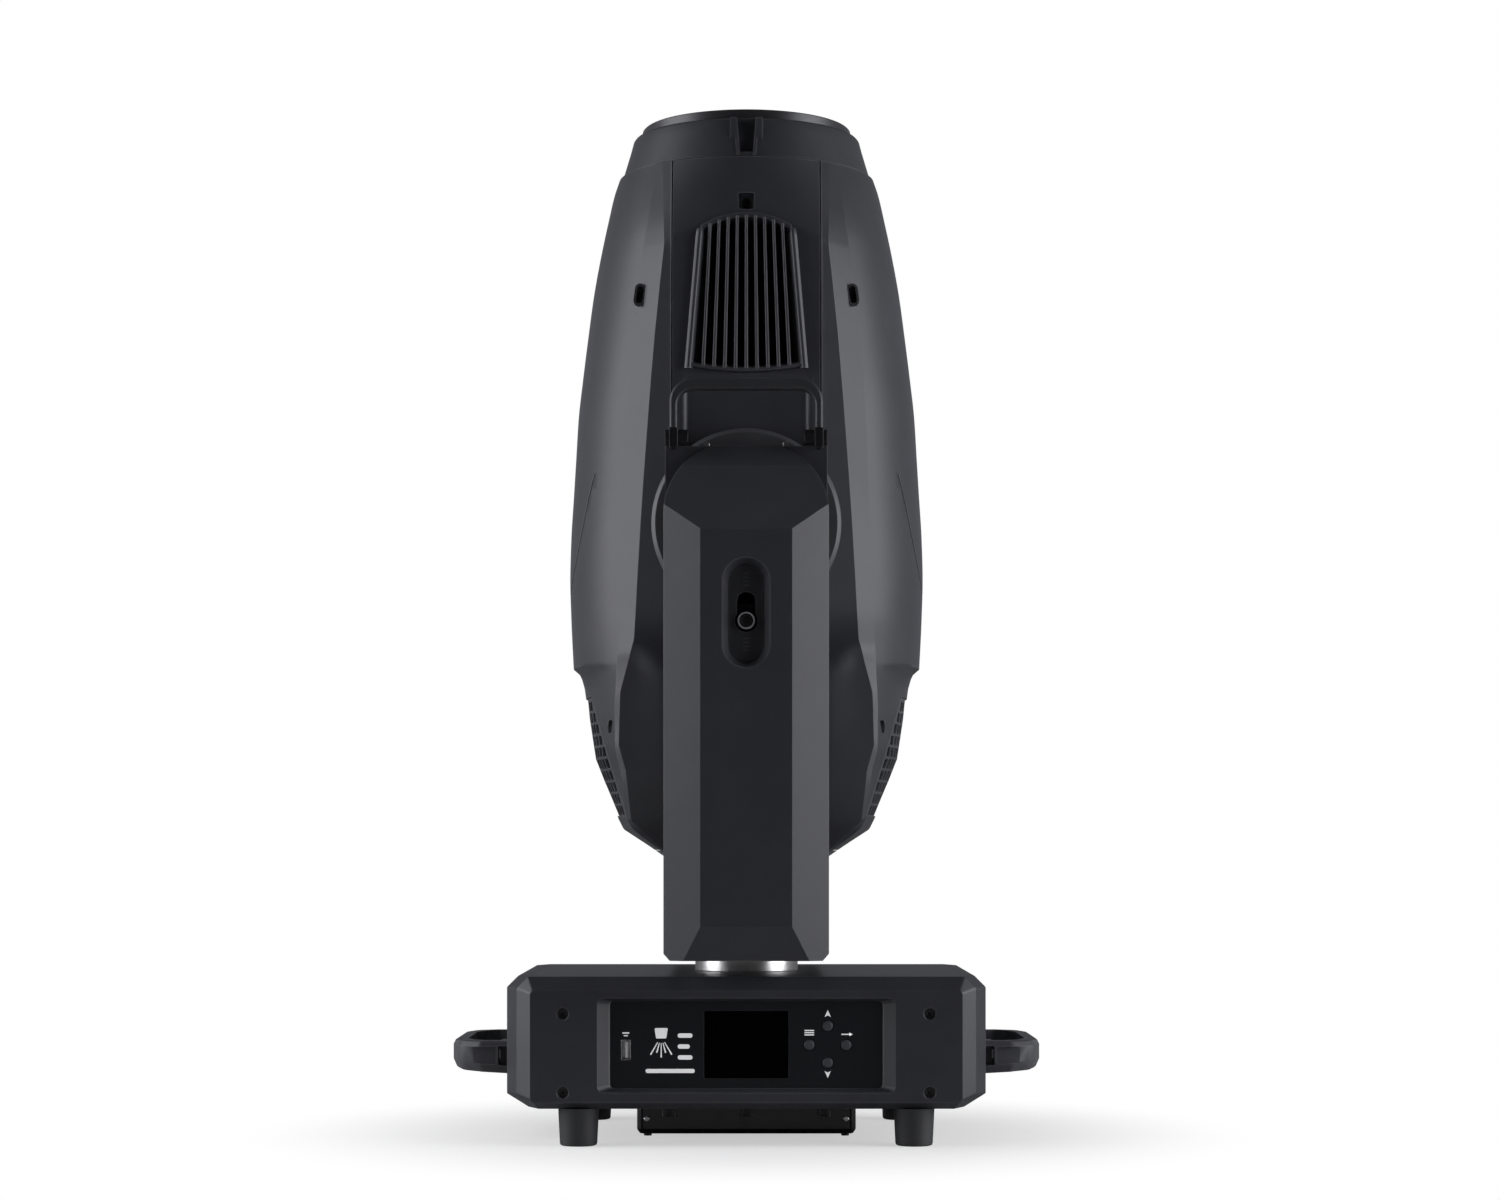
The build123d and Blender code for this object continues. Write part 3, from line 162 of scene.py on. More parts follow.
def rectangle(x, z, radius=0.0, steps=4):
    corners = [(x[0], z[0]), (x[1], z[0]), (x[1], z[1]), (x[0], z[1])]
    return rounded(corners, radius, steps) if radius else corners


def sided(side, a, b):
    """Low and high end of the range a to b, mirrored when side is -1."""
    return sorted((side * a, side * b))


def oval(centre_x, centre_z, half_width, half_height, steps=30):
    """Upright slot with round ends."""
    points = []
    lift = half_height - half_width
    for side in (1, -1):
        for step in range(steps + 1):
            angle = math.pi * step / steps + (0 if side > 0 else math.pi)
            x = centre_x + half_width * math.cos(angle)
            points.append((x, centre_z + side * lift + half_width * math.sin(angle)))
    return points


def disc_outline(centre_x, centre_z, radius, steps=40):
    angles = [2 * math.pi * step / steps for step in range(steps)]
    return [(centre_x + radius * math.cos(a), centre_z + radius * math.sin(a)) for a in angles]


def at_level(axis, outline, level):
    """A 2D outline as a 3D loop: (y, z) on x, (x, z) on y and (x, y) on z."""
    if axis == "x":
        return [(level, a, b) for a, b in outline]
    if axis == "y":
        return [(a, level, b) for a, b in outline]
    return [(a, b, level) for a, b in outline]


def stack(loops):
    """Closed loops of equal length joined into one capped solid."""
    count = len(loops[0])
    points = [point for loop in loops for point in loop]
    faces = [tuple(reversed(range(count)))]
    for level in range(len(loops) - 1):
        for index in range(count):
            here = level * count + index
            after = level * count + (index + 1) % count
            faces.append((here, after, after + count, here + count))
    faces.append(tuple(range((len(loops) - 1) * count, len(loops) * count)))
    return points, faces


def tapered(axis, *levels):
    """Solid through (outline, level) pairs along an axis."""
    return stack([at_level(axis, outline, level) for outline, level in levels])


def prism(axis, outline, low, high):
    return tapered(axis, (outline, low), (outline, high))


def lathe(profile, axis="z", centre=(0.0, 0.0, 0.0), steps=96):
    """A closed (radius, height) outline turned around an axis through centre."""
    points = []
    for step in range(steps):
        angle = 2 * math.pi * step / steps
        for radius, height in profile:
            a, b = radius * math.cos(angle), radius * math.sin(angle)
            local = {"x": (height, a, b), "y": (a, height, b), "z": (a, b, height)}[axis]
            points.append(tuple(c + d for c, d in zip(centre, local)))
    count = len(profile)
    faces = []
    for step in range(steps):
        for index in range(count):
            here = step * count + index
            beside = step * count + (index + 1) % count
            ahead = ((step + 1) % steps) * count
            faces.append((here, beside, ahead + (index + 1) % count, ahead + index))
    return points, faces


def grid(rows):
    """Open surface from rows of points."""
    count = len(rows[0])
    points = [point for row in rows for point in row]
    faces = []
    for row in range(len(rows) - 1):
        for column in range(count - 1):
            here = row * count + column
            faces.append((here, here + 1, here + 1 + count, here + count))
    return points, faces


def merged(shapes):
    """Several shapes as one."""
    points, faces = [], []
    for shape_points, shape_faces in shapes:
        start = len(points)
        points += shape_points
        faces += [tuple(start + index for index in face) for face in shape_faces]
    return points, faces


def shifted(shape, x=0.0, y=0.0, z=0.0):
    points, faces = shape
    return [(px + x, py + y, pz + z) for px, py, pz in points], faces


def flipped(shape, axis):
    """The same shape mirrored across the centre plane of an axis."""
    points, faces = shape
    index = "xyz".index(axis)
    moved = [tuple(-v if i == index else v for i, v in enumerate(p)) for p in points]
    return moved, [tuple(reversed(face)) for face in faces]


def turned(shape, axis, degrees):
    """The same shape turned about an axis through the origin."""
    points, faces = shape
    turn = Matrix.Rotation(math.radians(degrees), 3, axis.upper())
    return [tuple(turn @ Vector(point)) for point in points], faces


def smooth_through(knots):
    """Function that runs smoothly through (position, value) knots without overshoot."""
    knots = sorted(knots)
    xs = [knot[0] for knot in knots]
    ys = [knot[1] for knot in knots]
    steps = [(ys[i + 1] - ys[i]) / (xs[i + 1] - xs[i]) for i in range(len(xs) - 1)]
    slopes = [steps[0]]
    for i in range(1, len(steps)):
        same_way = steps[i - 1] * steps[i] > 0
        slopes.append(2 * steps[i - 1] * steps[i] / (steps[i - 1] + steps[i]) if same_way else 0.0)
    slopes.append(steps[-1])

    def value(x):
        x = min(max(x, xs[0]), xs[-1])
        i = max(k for k in range(len(xs) - 1) if xs[k] <= x)
        width = xs[i + 1] - xs[i]
        t = (x - xs[i]) / width
        return (
            ys[i] * (1 + 2 * t) * (1 - t) ** 2
            + slopes[i] * width * t * (1 - t) ** 2
            + ys[i + 1] * t * t * (3 - 2 * t)
            + slopes[i + 1] * width * t * t * (t - 1)
        )

    return value


def straight_through(knots):
    """Function that joins (position, value) knots with straight lines."""
    knots = sorted(knots)

    def value(x):
        x = min(max(x, knots[0][0]), knots[-1][0])
        for (x0, y0), (x1, y1) in zip(knots, knots[1:]):
            if x <= x1:
                return y0 + (y1 - y0) * (x - x0) / (x1 - x0)
        return knots[-1][1]

    return value


def ease(value):
    """Smooth step from 0 to 1."""
    value = min(max(value, 0.0), 1.0)
    return value * value * (3 - 2 * value)


# ---------------------------------------------------------------- objects


def clean(mesh, merge=False):
    """Faces that look outward, with double points merged on request."""
    build = bmesh.new()
    build.from_mesh(mesh)
    if merge:
        bmesh.ops.remove_doubles(build, verts=build.verts, dist=0.001 * MM)
    bmesh.ops.recalc_face_normals(build, faces=build.faces)
    build.to_mesh(mesh)
    build.free()


def make(name, *shapes):
    """One mesh object from shapes in millimetres."""
    points, faces = merged(shapes)
    mesh = bpy.data.meshes.new(name)
    mesh.from_pydata([tuple(value * MM for value in point) for point in points], [], faces)
    clean(mesh, merge=True)
    piece = bpy.data.objects.new(name, mesh)
    bpy.context.scene.collection.objects.link(piece)
    return piece


def bake(piece):
    """Turns the piece's modifiers into mesh."""
    depsgraph = bpy.context.evaluated_depsgraph_get()
    mesh = bpy.data.meshes.new_from_object(piece.evaluated_get(depsgraph))
    piece.modifiers.clear()
    piece.data = mesh
    return piece


def cut_with(piece, operation, tool):
    """One boolean of the piece with a tool object, which is used up."""
    boolean = piece.modifiers.new("boolean", "BOOLEAN")
    boolean.operation = operation
    boolean.solver = "EXACT"
    boolean.object = tool
    bake(piece)
    bpy.data.objects.remove(tool)


def combine(piece, operation, shapes):
    for shape in shapes:
        cut_with(piece, operation, make("tool", shape))


def carve(piece, *shapes):
    combine(piece, "DIFFERENCE", shapes)


def weld(piece, *shapes):
    combine(piece, "UNION", shapes)


def thicken(piece, thickness):
    """Gives an open surface a wall on its inner side."""
    wall = piece.modifiers.new("wall", "SOLIDIFY")
    wall.thickness = thickness * MM
    wall.offset = -1
    wall.use_even_offset = True
    bake(piece)


def bevel_edges(piece, width, segments, angle):
    """Rounded edges where two faces turn by more than an angle in degrees."""
    bevel = piece.modifiers.new("edges", "BEVEL")
    bevel.width = width * MM
    bevel.segments = segments
    bevel.limit_method = "ANGLE"
    bevel.angle_limit = math.radians(angle)
    return bevel


def round_edges(piece, width):
    """Rounds the edges of the main form at once, before small features are cut."""
    bevel_edges(piece, width, 3, 12.0)
    bake(piece)


def even_normals(piece):
    """Lets the large faces set the shading at their edges."""
    normals = piece.modifiers.new("normals", "WEIGHTED_NORMAL")
    normals.mode = "FACE_AREA"
    normals.keep_sharp = True


def soften(piece, width, segments=2, angle=30.0):
    """Small rounded edges, and smooth shading across gentle bends."""
    if width > 0:
        bevel_edges(piece, width, segments, angle).miter_outer = "MITER_ARC"
    piece.data.shade_smooth()
    if width <= 0:
        piece.data.set_sharp_from_angle(angle=math.radians(angle))
    even_normals(piece)


def dress(piece, material, body, replaces=()):
    """Material and CAD body of a finished piece, with the CAD parts it replaces hidden."""
    piece.data.materials.clear()
    piece.data.materials.append(material)
    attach(piece, body)
    if replaces:
        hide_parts(*replaces)


def finish(piece, material, body, slot, replaces=(), width=0.0, segments=2, angle=30.0):
    soften(piece, width, segments, angle)
    dress(piece, material, body, replaces)


def add_piece(name, shapes, *looks, **edges):
    """A finished piece straight from its shapes. The rest goes to finish."""
    finish(make(name, *shapes), *looks, **edges)


def drop_normals(mesh):
    """Removes normals that the CAD import or a bake stored."""
    if "custom_normal" in mesh.attributes:
        mesh.attributes.remove(mesh.attributes["custom_normal"])


def mirror_piece(piece, name, axis):
    """A mirrored copy of an undressed piece."""
    copy = piece.copy()
    copy.data = piece.data.copy()
    copy.name = name
    direction = Vector([1.0 if letter == axis else 0.0 for letter in "xyz"])
    copy.data.transform(Matrix.Scale(-1, 4, direction))
    drop_normals(copy.data)
    clean(copy.data)
    bpy.context.scene.collection.objects.link(copy)
    return copy


def finish_pair(piece, other_name, axis, material, body, slot, replaces=(), other_replaces=(), **edges):
    """Finishes a piece, with a mirrored copy of it across an axis."""
    soften(piece, **edges)
    other = mirror_piece(piece, other_name, axis)
    dress(piece, material, body, replaces)
    dress(other, material, body, other_replaces)


def keep_node(node, material, edge):
    """A CAD node that stays, with a new material and lightly rounded edges."""
    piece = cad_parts[node]
    piece.data.materials.clear()
    piece.data.materials.append(material)
    drop_normals(piece.data)
    joined = piece.modifiers.new("joined", "WELD")
    joined.merge_threshold = 0.01 * MM
    bevel_edges(piece, edge, 2, 35.0)
    piece.data.shade_smooth()
    even_normals(piece)


# ---------------------------------------------------------------- materials

# Radius over which edges turn lighter: partly wear, partly painted highlight.
EDGE_WEAR_AND_HIGHLIGHT_RADIUS = 1.6 * MM


def set_inputs(node, values):
    """Sets the inputs of a node. A value that is an output socket is linked."""
    for key, value in values.items():
        if isinstance(value, bpy.types.NodeSocket):
            node.id_data.links.new(value, node.inputs[key])
        else:
            node.inputs[key].default_value = value


def add_node(tree, kind, values, **settings):
    """Shader node with its settings and inputs."""
    node = tree.nodes.new("ShaderNode" + kind)
    for key, value in settings.items():
        setattr(node, key, value)
    set_inputs(node, values)
    return node


def adjusted(material, values):
    """The material with further inputs of its shader set."""
    set_inputs(material.node_tree.nodes["Principled BSDF"], values)
    return material


def grey(level):
    return (level, level, level, 1.0)


def worn_and_highlit_colour(tree, base, patchiness, colour, wear_and_highlight):
    """The base colour with lighter patches along the edges: partly wear, partly a painted highlight on the
    rounded edges.
    """
    blunt = add_node(tree, "Bevel", {"Radius": EDGE_WEAR_AND_HIGHLIGHT_RADIUS}, samples=4)
    shape = add_node(tree, "NewGeometry", {})
    match = add_node(tree, "VectorMath", {0: blunt.outputs["Normal"], 1: shape.outputs["Normal"]},
                     operation="DOT_PRODUCT")
    edge = add_node(tree, "MapRange", {"From Min": 0.99, "From Max": 0.85, "Value": match.outputs["Value"]})
    patch = add_node(tree, "Math", {0: edge.outputs["Result"], 1: patchiness}, operation="MULTIPLY")
    light = [min(1.0, c + wear_and_highlight) for c in colour] + [1.0]
    worn_and_highlit = add_node(tree, "Mix", {"B": light, "Factor": patch.outputs["Value"], "A": base}, data_type="RGBA")
    return worn_and_highlit.outputs["Result"]


def surface(name, colour, roughness, metallic=0.0, grain=0.0, grain_size=0.7, tone=0.08, wear_and_highlight=0.0, coat=0.0,
            speck=0.06, brushed=None, shine=0.5):
    """Node material: uneven tone, uneven roughness, grain bump and lighter edges, partly wear and partly
    painted highlight.
    """
    material = bpy.data.materials.new(name)
    material.use_nodes = True
    tree = material.node_tree
    place = add_node(tree, "TexCoord", {}).outputs["Object"]

    cloud = add_node(tree, "TexNoise", {"Scale": 30.0, "Detail": 5.0, "Vector": place}).outputs["Fac"]
    ramp = add_node(tree, "ValToRGB", {"Fac": cloud})
    for stop, position, factor in zip(ramp.color_ramp.elements, (0.3, 0.7), (1 - tone, 1 + tone)):
        stop.position = position
        stop.color = [min(1.0, c * factor) for c in colour] + [1.0]
    base = ramp.outputs["Color"]
    # Lighter edges: partly wear, partly a painted highlight where the rounded edges would catch the lamps.
    if wear_and_highlight > 0:
        base = worn_and_highlit_colour(tree, base, cloud, colour, wear_and_highlight)

    if brushed:
        place = add_node(tree, "Mapping", {"Scale": brushed, "Vector": place}).outputs["Vector"]
    grit = add_node(tree, "TexNoise", {"Scale": 1.0 / (grain_size * MM), "Detail": 2.0, "Vector": place})
    gloss = add_node(tree, "MapRange", {"To Min": max(0.02, roughness - speck),
                                        "To Max": min(1.0, roughness + speck), "Value": grit.outputs["Fac"]})

    looks = {"Metallic": metallic, "Specular IOR Level": shine, "Coat Weight": coat, "Coat Roughness": 0.05,
             "Base Color": base, "Roughness": gloss.outputs["Result"]}
    if grain > 0:
        bump = add_node(tree, "Bump", {"Strength": grain, "Distance": 0.1 * MM,
                                       "Height": grit.outputs["Fac"]})
        looks["Normal"] = bump.outputs["Normal"]
    return adjusted(material, looks)


SHELL = surface("shell_plastic", (0.038, 0.039, 0.046), 0.44, grain=0.35, wear_and_highlight=0.15, speck=0.08)
HANDLE = surface("handle_plastic", (0.075, 0.076, 0.085), 0.46, grain=0.35, wear_and_highlight=0.15)
CAP = surface("tail_plastic", (0.075, 0.076, 0.085), 0.46, grain=0.35, wear_and_highlight=0.10)
BOSS_PAINTED_LIGHT = surface("boss_painted_light", (0.030, 0.030, 0.033), 0.35, grain=0.2, wear_and_highlight=0.10)
PAINT = surface("painted_metal", (0.034, 0.035, 0.039), 0.42, grain=0.5, grain_size=1.0, wear_and_highlight=0.12, shine=0.4)
RING = surface("hub_plastic", (0.070, 0.071, 0.077), 0.40, grain=0.3, wear_and_highlight=0.08, shine=0.4)
PANEL = surface("panel_plastic", (0.010, 0.011, 0.014), 0.38, grain=0.12, grain_size=0.5, wear_and_highlight=0.03,
                shine=0.3)
GLOSSY = surface("gloss_black", (0.003, 0.003, 0.004), 0.14, grain=0.05, grain_size=9.0, wear_and_highlight=0.02, coat=0.2,
                 shine=0.4)
SCREEN = surface("screen_glass", (0.0006, 0.0007, 0.0009), 0.08, tone=0.3, speck=0.02, shine=0.02)
BUTTON = surface("button_rubber", (0.060, 0.063, 0.070), 0.55, grain=0.5, grain_size=0.6)
RUBBER = surface("rubber", (0.040, 0.041, 0.043), 0.6, grain=0.6, grain_size=0.9, wear_and_highlight=0.05)
FOAM = surface("filter_foam", (0.006, 0.006, 0.007), 0.9, grain=1.0, grain_size=1.6, tone=0.3, shine=0.1)
EAR_BLACK = surface("ear_black", (0.006, 0.006, 0.007), 0.45, grain=0.2, wear_and_highlight=0.03, shine=0.3)
BLACK_STEEL = surface("black_steel", (0.012, 0.012, 0.013), 0.3, metallic=0.6, grain=0.2, wear_and_highlight=0.15)
STEEL = surface("bright_steel", (0.55, 0.55, 0.56), 0.28, metallic=1.0, grain=0.15, tone=0.08)
SCREW_HEAD_PAINTED_HIGHLIGHT = surface("screw_head_painted_highlight", (0.13, 0.13, 0.135), 0.35, grain=0.1, tone=0.05)
PALE_METAL = surface("pale_metal", (0.42, 0.42, 0.43), 0.3, metallic=0.2, grain=0.1, tone=0.05)
CHROME = surface("chrome", (0.70, 0.69, 0.68), 0.30, metallic=1.0, tone=0.05, grain=0.03, grain_size=4.0,
                 speck=0.04)
GEAR = surface("gear_aluminium", (0.55, 0.55, 0.56), 0.38, metallic=1.0, grain=0.3, tone=0.08)
ZINC = surface("zinc_sheet", (0.50, 0.51, 0.53), 0.42, metallic=1.0, grain=0.3, grain_size=6.0, tone=0.18)
BOARD = surface("circuit_board", (0.010, 0.060, 0.025), 0.4, grain=0.3, grain_size=1.5, tone=0.25, coat=0.3)
# White print, with a faint emission that is a painted glow: the marks shine a little whatever the light.
WHITE_INK_WITH_PAINTED_GLOW = adjusted(surface("white_ink_painted_glow", (0.85, 0.85, 0.85), 0.5, grain=0.1, tone=0.03),
                     {"Emission Color": grey(1.0), "Emission Strength": 0.3})
SOCKET_TONGUE = surface("socket_tongue", (0.80, 0.79, 0.77), 0.4, grain=0.1, tone=0.04)
RIM_METAL = surface("rim_metal", (0.050, 0.050, 0.054), 0.36, metallic=0.5, grain=0.5, grain_size=0.8,
                    brushed=(0.08, 0.08, 1.0))
GLASS = adjusted(surface("lens_glass", (0.93, 0.94, 0.97), 0.02, tone=0.01, speck=0.02),
                 {"Transmission Weight": 1.0, "IOR": 1.5, "Coat Weight": 0.5,
                  "Coat Tint": (0.75, 0.8, 1.0, 1.0)})

# ---------------------------------------------------------------- base


SIDE_CUTS = (16.0, 10.0, 8.5)         # corner cuts: bottom sideways, bottom upwards, top
FACE_CUTS = (2.0, 2.0, 2.0)


def base_outline(half_width, low, high, inset=0.0, cuts=SIDE_CUTS):
    """Outline of the base with its cut corners, drawn in by inset."""
    half_width, low, high = half_width - inset, low + inset, high - inset
    right = [
        (half_width - cuts[0], low),
        (half_width, low + cuts[1]),
        (half_width, high - cuts[2]),
        (half_width - cuts[2], high),
    ]
    return rounded(mirrored_outline(right), [1.5, 4.0, 4.0, 2.5, 2.5, 4.0, 4.0, 1.5])


def cover_form(inset):
    low, high = BASE_Z
    return tapered(
        "y",
        (base_outline(BASE_HALF_WIDTH, low, high, inset), COVER_BACK_Y),
        (base_outline(SHOULDER[1], low, high, inset), SHOULDER[0]),
        (base_outline(FACE_HALF_WIDTH, *FACE_Z, inset, FACE_CUTS), -BASE_HALF_DEPTH + inset),
    )


def screw_recess(x, z, face_y, radius, depth):
    """Round countersunk recess, as a tool to cut with."""
    profile = [(0.0, -1.0), (radius + 1.6, -1.0), (radius + 0.6, 0.0), (radius, 0.7), (radius, depth),
               (0.0, depth)]
    return lathe(profile, "y", (x, face_y, z), 32)


def end_cover(name):
    """Hollow moulded end of the base with four screw recesses."""
    cover = make(name, cover_form(0.0))
    round_edges(cover, 1.1)
    carve(cover, shifted(cover_form(3.0), y=0.6))
    for x in (-SCREW_X, SCREW_X):
        for z in SCREW_Z:
            weld(cover, prism("y", disc_outline(x, z, 6.5, 24), -BASE_HALF_DEPTH + 2.0, COVER_BACK_Y))
            carve(cover, screw_recess(x, z, -BASE_HALF_DEPTH, 4.0, 5.0))
    return cover


def screw_head_rings():
    """Rings around the sockets of the cover screws, front and rear, whose light grey is a painted highlight
    on their chamfered rims.
    """
    ring = [(1.9, 0.3), (2.2, -0.5), (2.7, -0.5), (3.1, 0.0), (3.1, 0.3)]
    face = -BASE_HALF_DEPTH + 5.0
    rings = [lathe(ring, "y", (x, face, z), 32) for x in (-SCREW_X, SCREW_X) for z in SCREW_Z]
    rings += [flipped(shape, "y") for shape in rings]
    add_piece("cover_screw_rings", rings, SCREW_HEAD_PAINTED_HIGHLIGHT, "base", "black_steel", angle=50)


def panel_frame_cutter():
    """Tapered opening of the control panel with small corner radii."""
    mouth = rectangle((-PANEL_MOUTH_HALF_WIDTH, PANEL_MOUTH_HALF_WIDTH), PANEL_MOUTH_Z, 4.5, 6)
    inner = rectangle((-PANEL_HALF_WIDTH, PANEL_HALF_WIDTH), PANEL_Z, 3.0, 6)
    slope = [(a + (a - b) * 0.25, c + (c - d) * 0.25) for (a, c), (b, d) in zip(mouth, inner)]
    return tapered("y", (slope, -BASE_HALF_DEPTH - 1.5), (inner, PANEL_Y), (inner, PANEL_Y + 6.0))


def base():
    """The two moulded ends: the panel recess in front, the connector window at the rear."""
    front = end_cover("front_end_moulding")
    surround = rectangle((-112, 112), (37.4, 111.3), 3.0)
    weld(front, prism("y", surround, -BASE_HALF_DEPTH + 1.5, PANEL_Y - 0.05))
    carve(front, panel_frame_cutter())
    finish(front, SHELL, "base", "shell_plastic", ["front_end_cover"], 0.45, 3)

    plain = end_cover("rear_tool")
    rear = mirror_piece(plain, "rear_end_moulding", "y")
    bpy.data.objects.remove(plain)
    window = rectangle((-101.8, 101.8), (43.2, 106.8), 3.0)
    carve(rear, prism("y", window, BASE_HALF_DEPTH - 5, BASE_HALF_DEPTH + 2))
    finish(rear, SHELL, "base", "shell_plastic", ["rear_end_cover"], 0.45, 3)


def usb_outline(inset, radius):
    """Outline of the service socket, drawn in by inset."""
    (x_low, _, z_low), (x_high, _, z_high) = USB_BOX
    return rectangle((x_low + inset, x_high - inset), (z_low + inset, z_high - inset), radius)


def control_panel():
    """Dark panel with its holes, the buttons and the glass of the screen."""
    half, (low, high) = PANEL_HALF_WIDTH - 0.1, PANEL_Z
    outline = rectangle((-half, half), (low + 0.1, high - 0.1), 3.0)
    plate = make("control_panel_plate", prism("y", outline, PANEL_Y, PANEL_Y + 3.0))
    window = rectangle((-SCREEN_HALF_WIDTH, SCREEN_HALF_WIDTH), SCREEN_Z, 0.8)
    carve(plate, prism("y", window, PANEL_Y - 1, PANEL_Y + 4))
    carve(plate, prism("y", usb_outline(-0.2, 1.0), PANEL_Y - 1, PANEL_Y + 4))
    for node in ("button_up", "button_down", "button_menu", "button_enter"):
        button(node, plate)
    finish(plate, PANEL, "base", "panel_plastic", ["control_panel"], 0.25)

    half, (low, high) = SCREEN_HALF_WIDTH - 0.1, SCREEN_Z
    outline = rectangle((-half, half), (low + 0.1, high - 0.1), 0.7)
    glass = make("screen_window", prism("y", outline, PANEL_Y + 0.3, PANEL_Y + 4.5))
    picture = rectangle((-27.8, 27.8), (53.0, 97.6), 0.3)
    carve(glass, prism("y", picture, PANEL_Y, PANEL_Y + 0.45))
    finish(glass, SCREEN, "base", "screen_glass", ["display_screen"], 0.12)


def button(node, plate):
    """Domed round cap, with its hole cut in the panel plate."""
    low, high = node_box(node)
    centre = ((low[0] + high[0]) / 2, PANEL_Y, (low[2] + high[2]) / 2)
    rim = [(0.0, -3.0), (4.9, -3.0), (4.5, 0.0), (4.15, 0.4), (4.15, 4.5), (0.0, 4.5)]
    carve(plate, lathe(rim, "y", centre, 40))
    profile = [(0.0, -1.15), (1.6, -1.15), (2.6, -1.0), (3.4, -0.7), (3.8, -0.2), (3.95, 0.6), (3.95, 3.2),
               (5.4, 3.2), (5.4, 4.3), (1.5, 4.3), (1.5, 5.8), (0.0, 5.8)]
    cap = lathe(profile, "y", centre, 40)
    add_piece(node + "_cap", [cap], BUTTON, node, "button_rubber", [node], angle=50)


def usb_socket():
    """Steel can of the service socket and its pale tongue."""
    can = make("service_socket_can", prism("y", usb_outline(0.0, 0.9), PANEL_Y - 0.2, PANEL_Y + 12.0))
    carve(can, prism("y", usb_outline(0.5, 0.6), PANEL_Y - 1.0, PANEL_Y + 10.0))
    finish(can, STEEL, "base", "bright_steel", ["usb_socket"], 0.1, 1)
    low, high = USB_BOX
    x = (low[0] + high[0]) / 2
    tongue = rectangle((x - 0.4, x + 1.9), (low[2] + 1.5, high[2] - 1.5), 0.2)
    add_piece("service_socket_tongue", [prism("y", tongue, PANEL_Y + 0.8, PANEL_Y + 10.5)],
              SOCKET_TONGUE, "base", "bright_steel", width=0.15, segments=1)


def ink(outline):
    """A thin raised mark on the control panel."""
    return prism("y", outline, PANEL_Y - 0.12, PANEL_Y + 0.1)


def bar(x, z, half_width, half_height):
    box = rectangle((x - half_width, x + half_width), (z - half_height, z + half_height), half_height * 0.9)
    return ink(box)


def arrow_marks():
    """Arrowheads above the upper and below the lower button."""
    x = 59.6
    marks = []
    for tip, side in ((100.3, 1), (50.4, -1)):
        foot = tip - side * 5.2
        marks.append(ink([(x, tip), (x + 2.3, foot), (x, tip - side * 4.0), (x - 2.3, foot)]))
    return marks


def lamp_marks():
    """Pictogram of a lamp with five rays."""
    lamp = [(-66.0, 79.4), (-58.6, 79.4), (-57.4, 87.0), (-67.2, 87.0)]
    marks = [ink(rounded(lamp, 0.8))]
    x, z = -62.3, 81.0
    for index in range(5):
        angle = math.radians(-30 + 15 * index)
        across, down = math.sin(angle), math.cos(angle)
        start, end = (5.0, 12.5) if index % 2 else (5.0, 15.5)
        a = Vector((x + across * start, z - down * start))
        b = Vector((x + across * end, z - down * end))
        side = Vector((down, across)) * 0.55
        marks.append(ink([tuple(a + side * 0.5), tuple(b + side), tuple(b - side), tuple(a - side * 0.5)]))
    return marks


def printed_marks():
    """Raised ink: arrowheads by the buttons and plain pictograms."""
    marks = arrow_marks()
    marks += [bar(46.1, 83.6 + step, 3.6, 0.45) for step in (-1.6, 0.0, 1.6)]
    marks += [bar(73.1, 82.4, 3.6, 0.45), ink([(75.4, 83.8), (78.0, 82.4), (75.4, 81.0)])]
    marks += [bar(-88.2, 83.4, 2.6, 0.5), bar(-88.2, 81.4, 1.6, 0.4)]
    marks += lamp_marks()
    marks += [bar(-44.8, 81.5, 5.4, 1.6), bar(-45.8, 73.5, 4.4, 1.6), bar(-44.8, 65.5, 5.4, 1.6)]
    marks.append(bar(-55.7, 55.6, 18.0, 1.5))
    add_piece("panel_marks", marks, WHITE_INK_WITH_PAINTED_GLOW, "base", "panel_plastic")


def both_ends(near):
    """Closed outline from its near half, mirrored to the far end."""
    return near + [(x, -y) for x, y in reversed(near)]


def handle_outline(near, radii):
    return rounded(both_ends(near), radii + radii[::-1], 6)


def handle_ring(inset):
    """Outline of the right handle, drawn in by inset along its grip and ends."""
    reach, half = HANDLE_REACH, HANDLE_HALF_LENGTH
    near = [(HANDLE_ROOT, -half), (reach - 22.0, -half), (reach - 6.0, -half + 9.0), (reach, -half + 32.0)]
    middle_x = (HANDLE_ROOT + reach) / 2
    return [(x - inset * (1 if x > middle_x else 0.0), y - inset * math.copysign(min(1.0, abs(y) / half), y))
            for x, y in handle_outline(near, [0.0, 10.0, 14.0, 18.0])]


def handle_form():
    """Loop with rounded upper and lower edges and an open middle."""
    (z_low, z_high), reach, half = HANDLE_Z, HANDLE_REACH, HANDLE_HALF_LENGTH
    levels = [(z_low, 4.0), (z_low + 1.2, 2.4), (z_low + 7.0, 0.0), (z_high - 4.0, 0.0), (z_high - 0.8, 1.6),
              (z_high, 3.0)]
    handle = make("side_handle_right", tapered("z", *[(handle_ring(inset), z) for z, inset in levels]))
    near = [(HANDLE_ROOT - 1, -half + 11), (reach - 26.0, -half + 11), (reach - 17.5, -half + 17),
            (reach - 11.0, -half + 36)]
    carve(handle, prism("z", handle_outline(near, [0.0, 6.0, 10.0, 14.0]), z_low - 2, z_high + 2))
    return handle


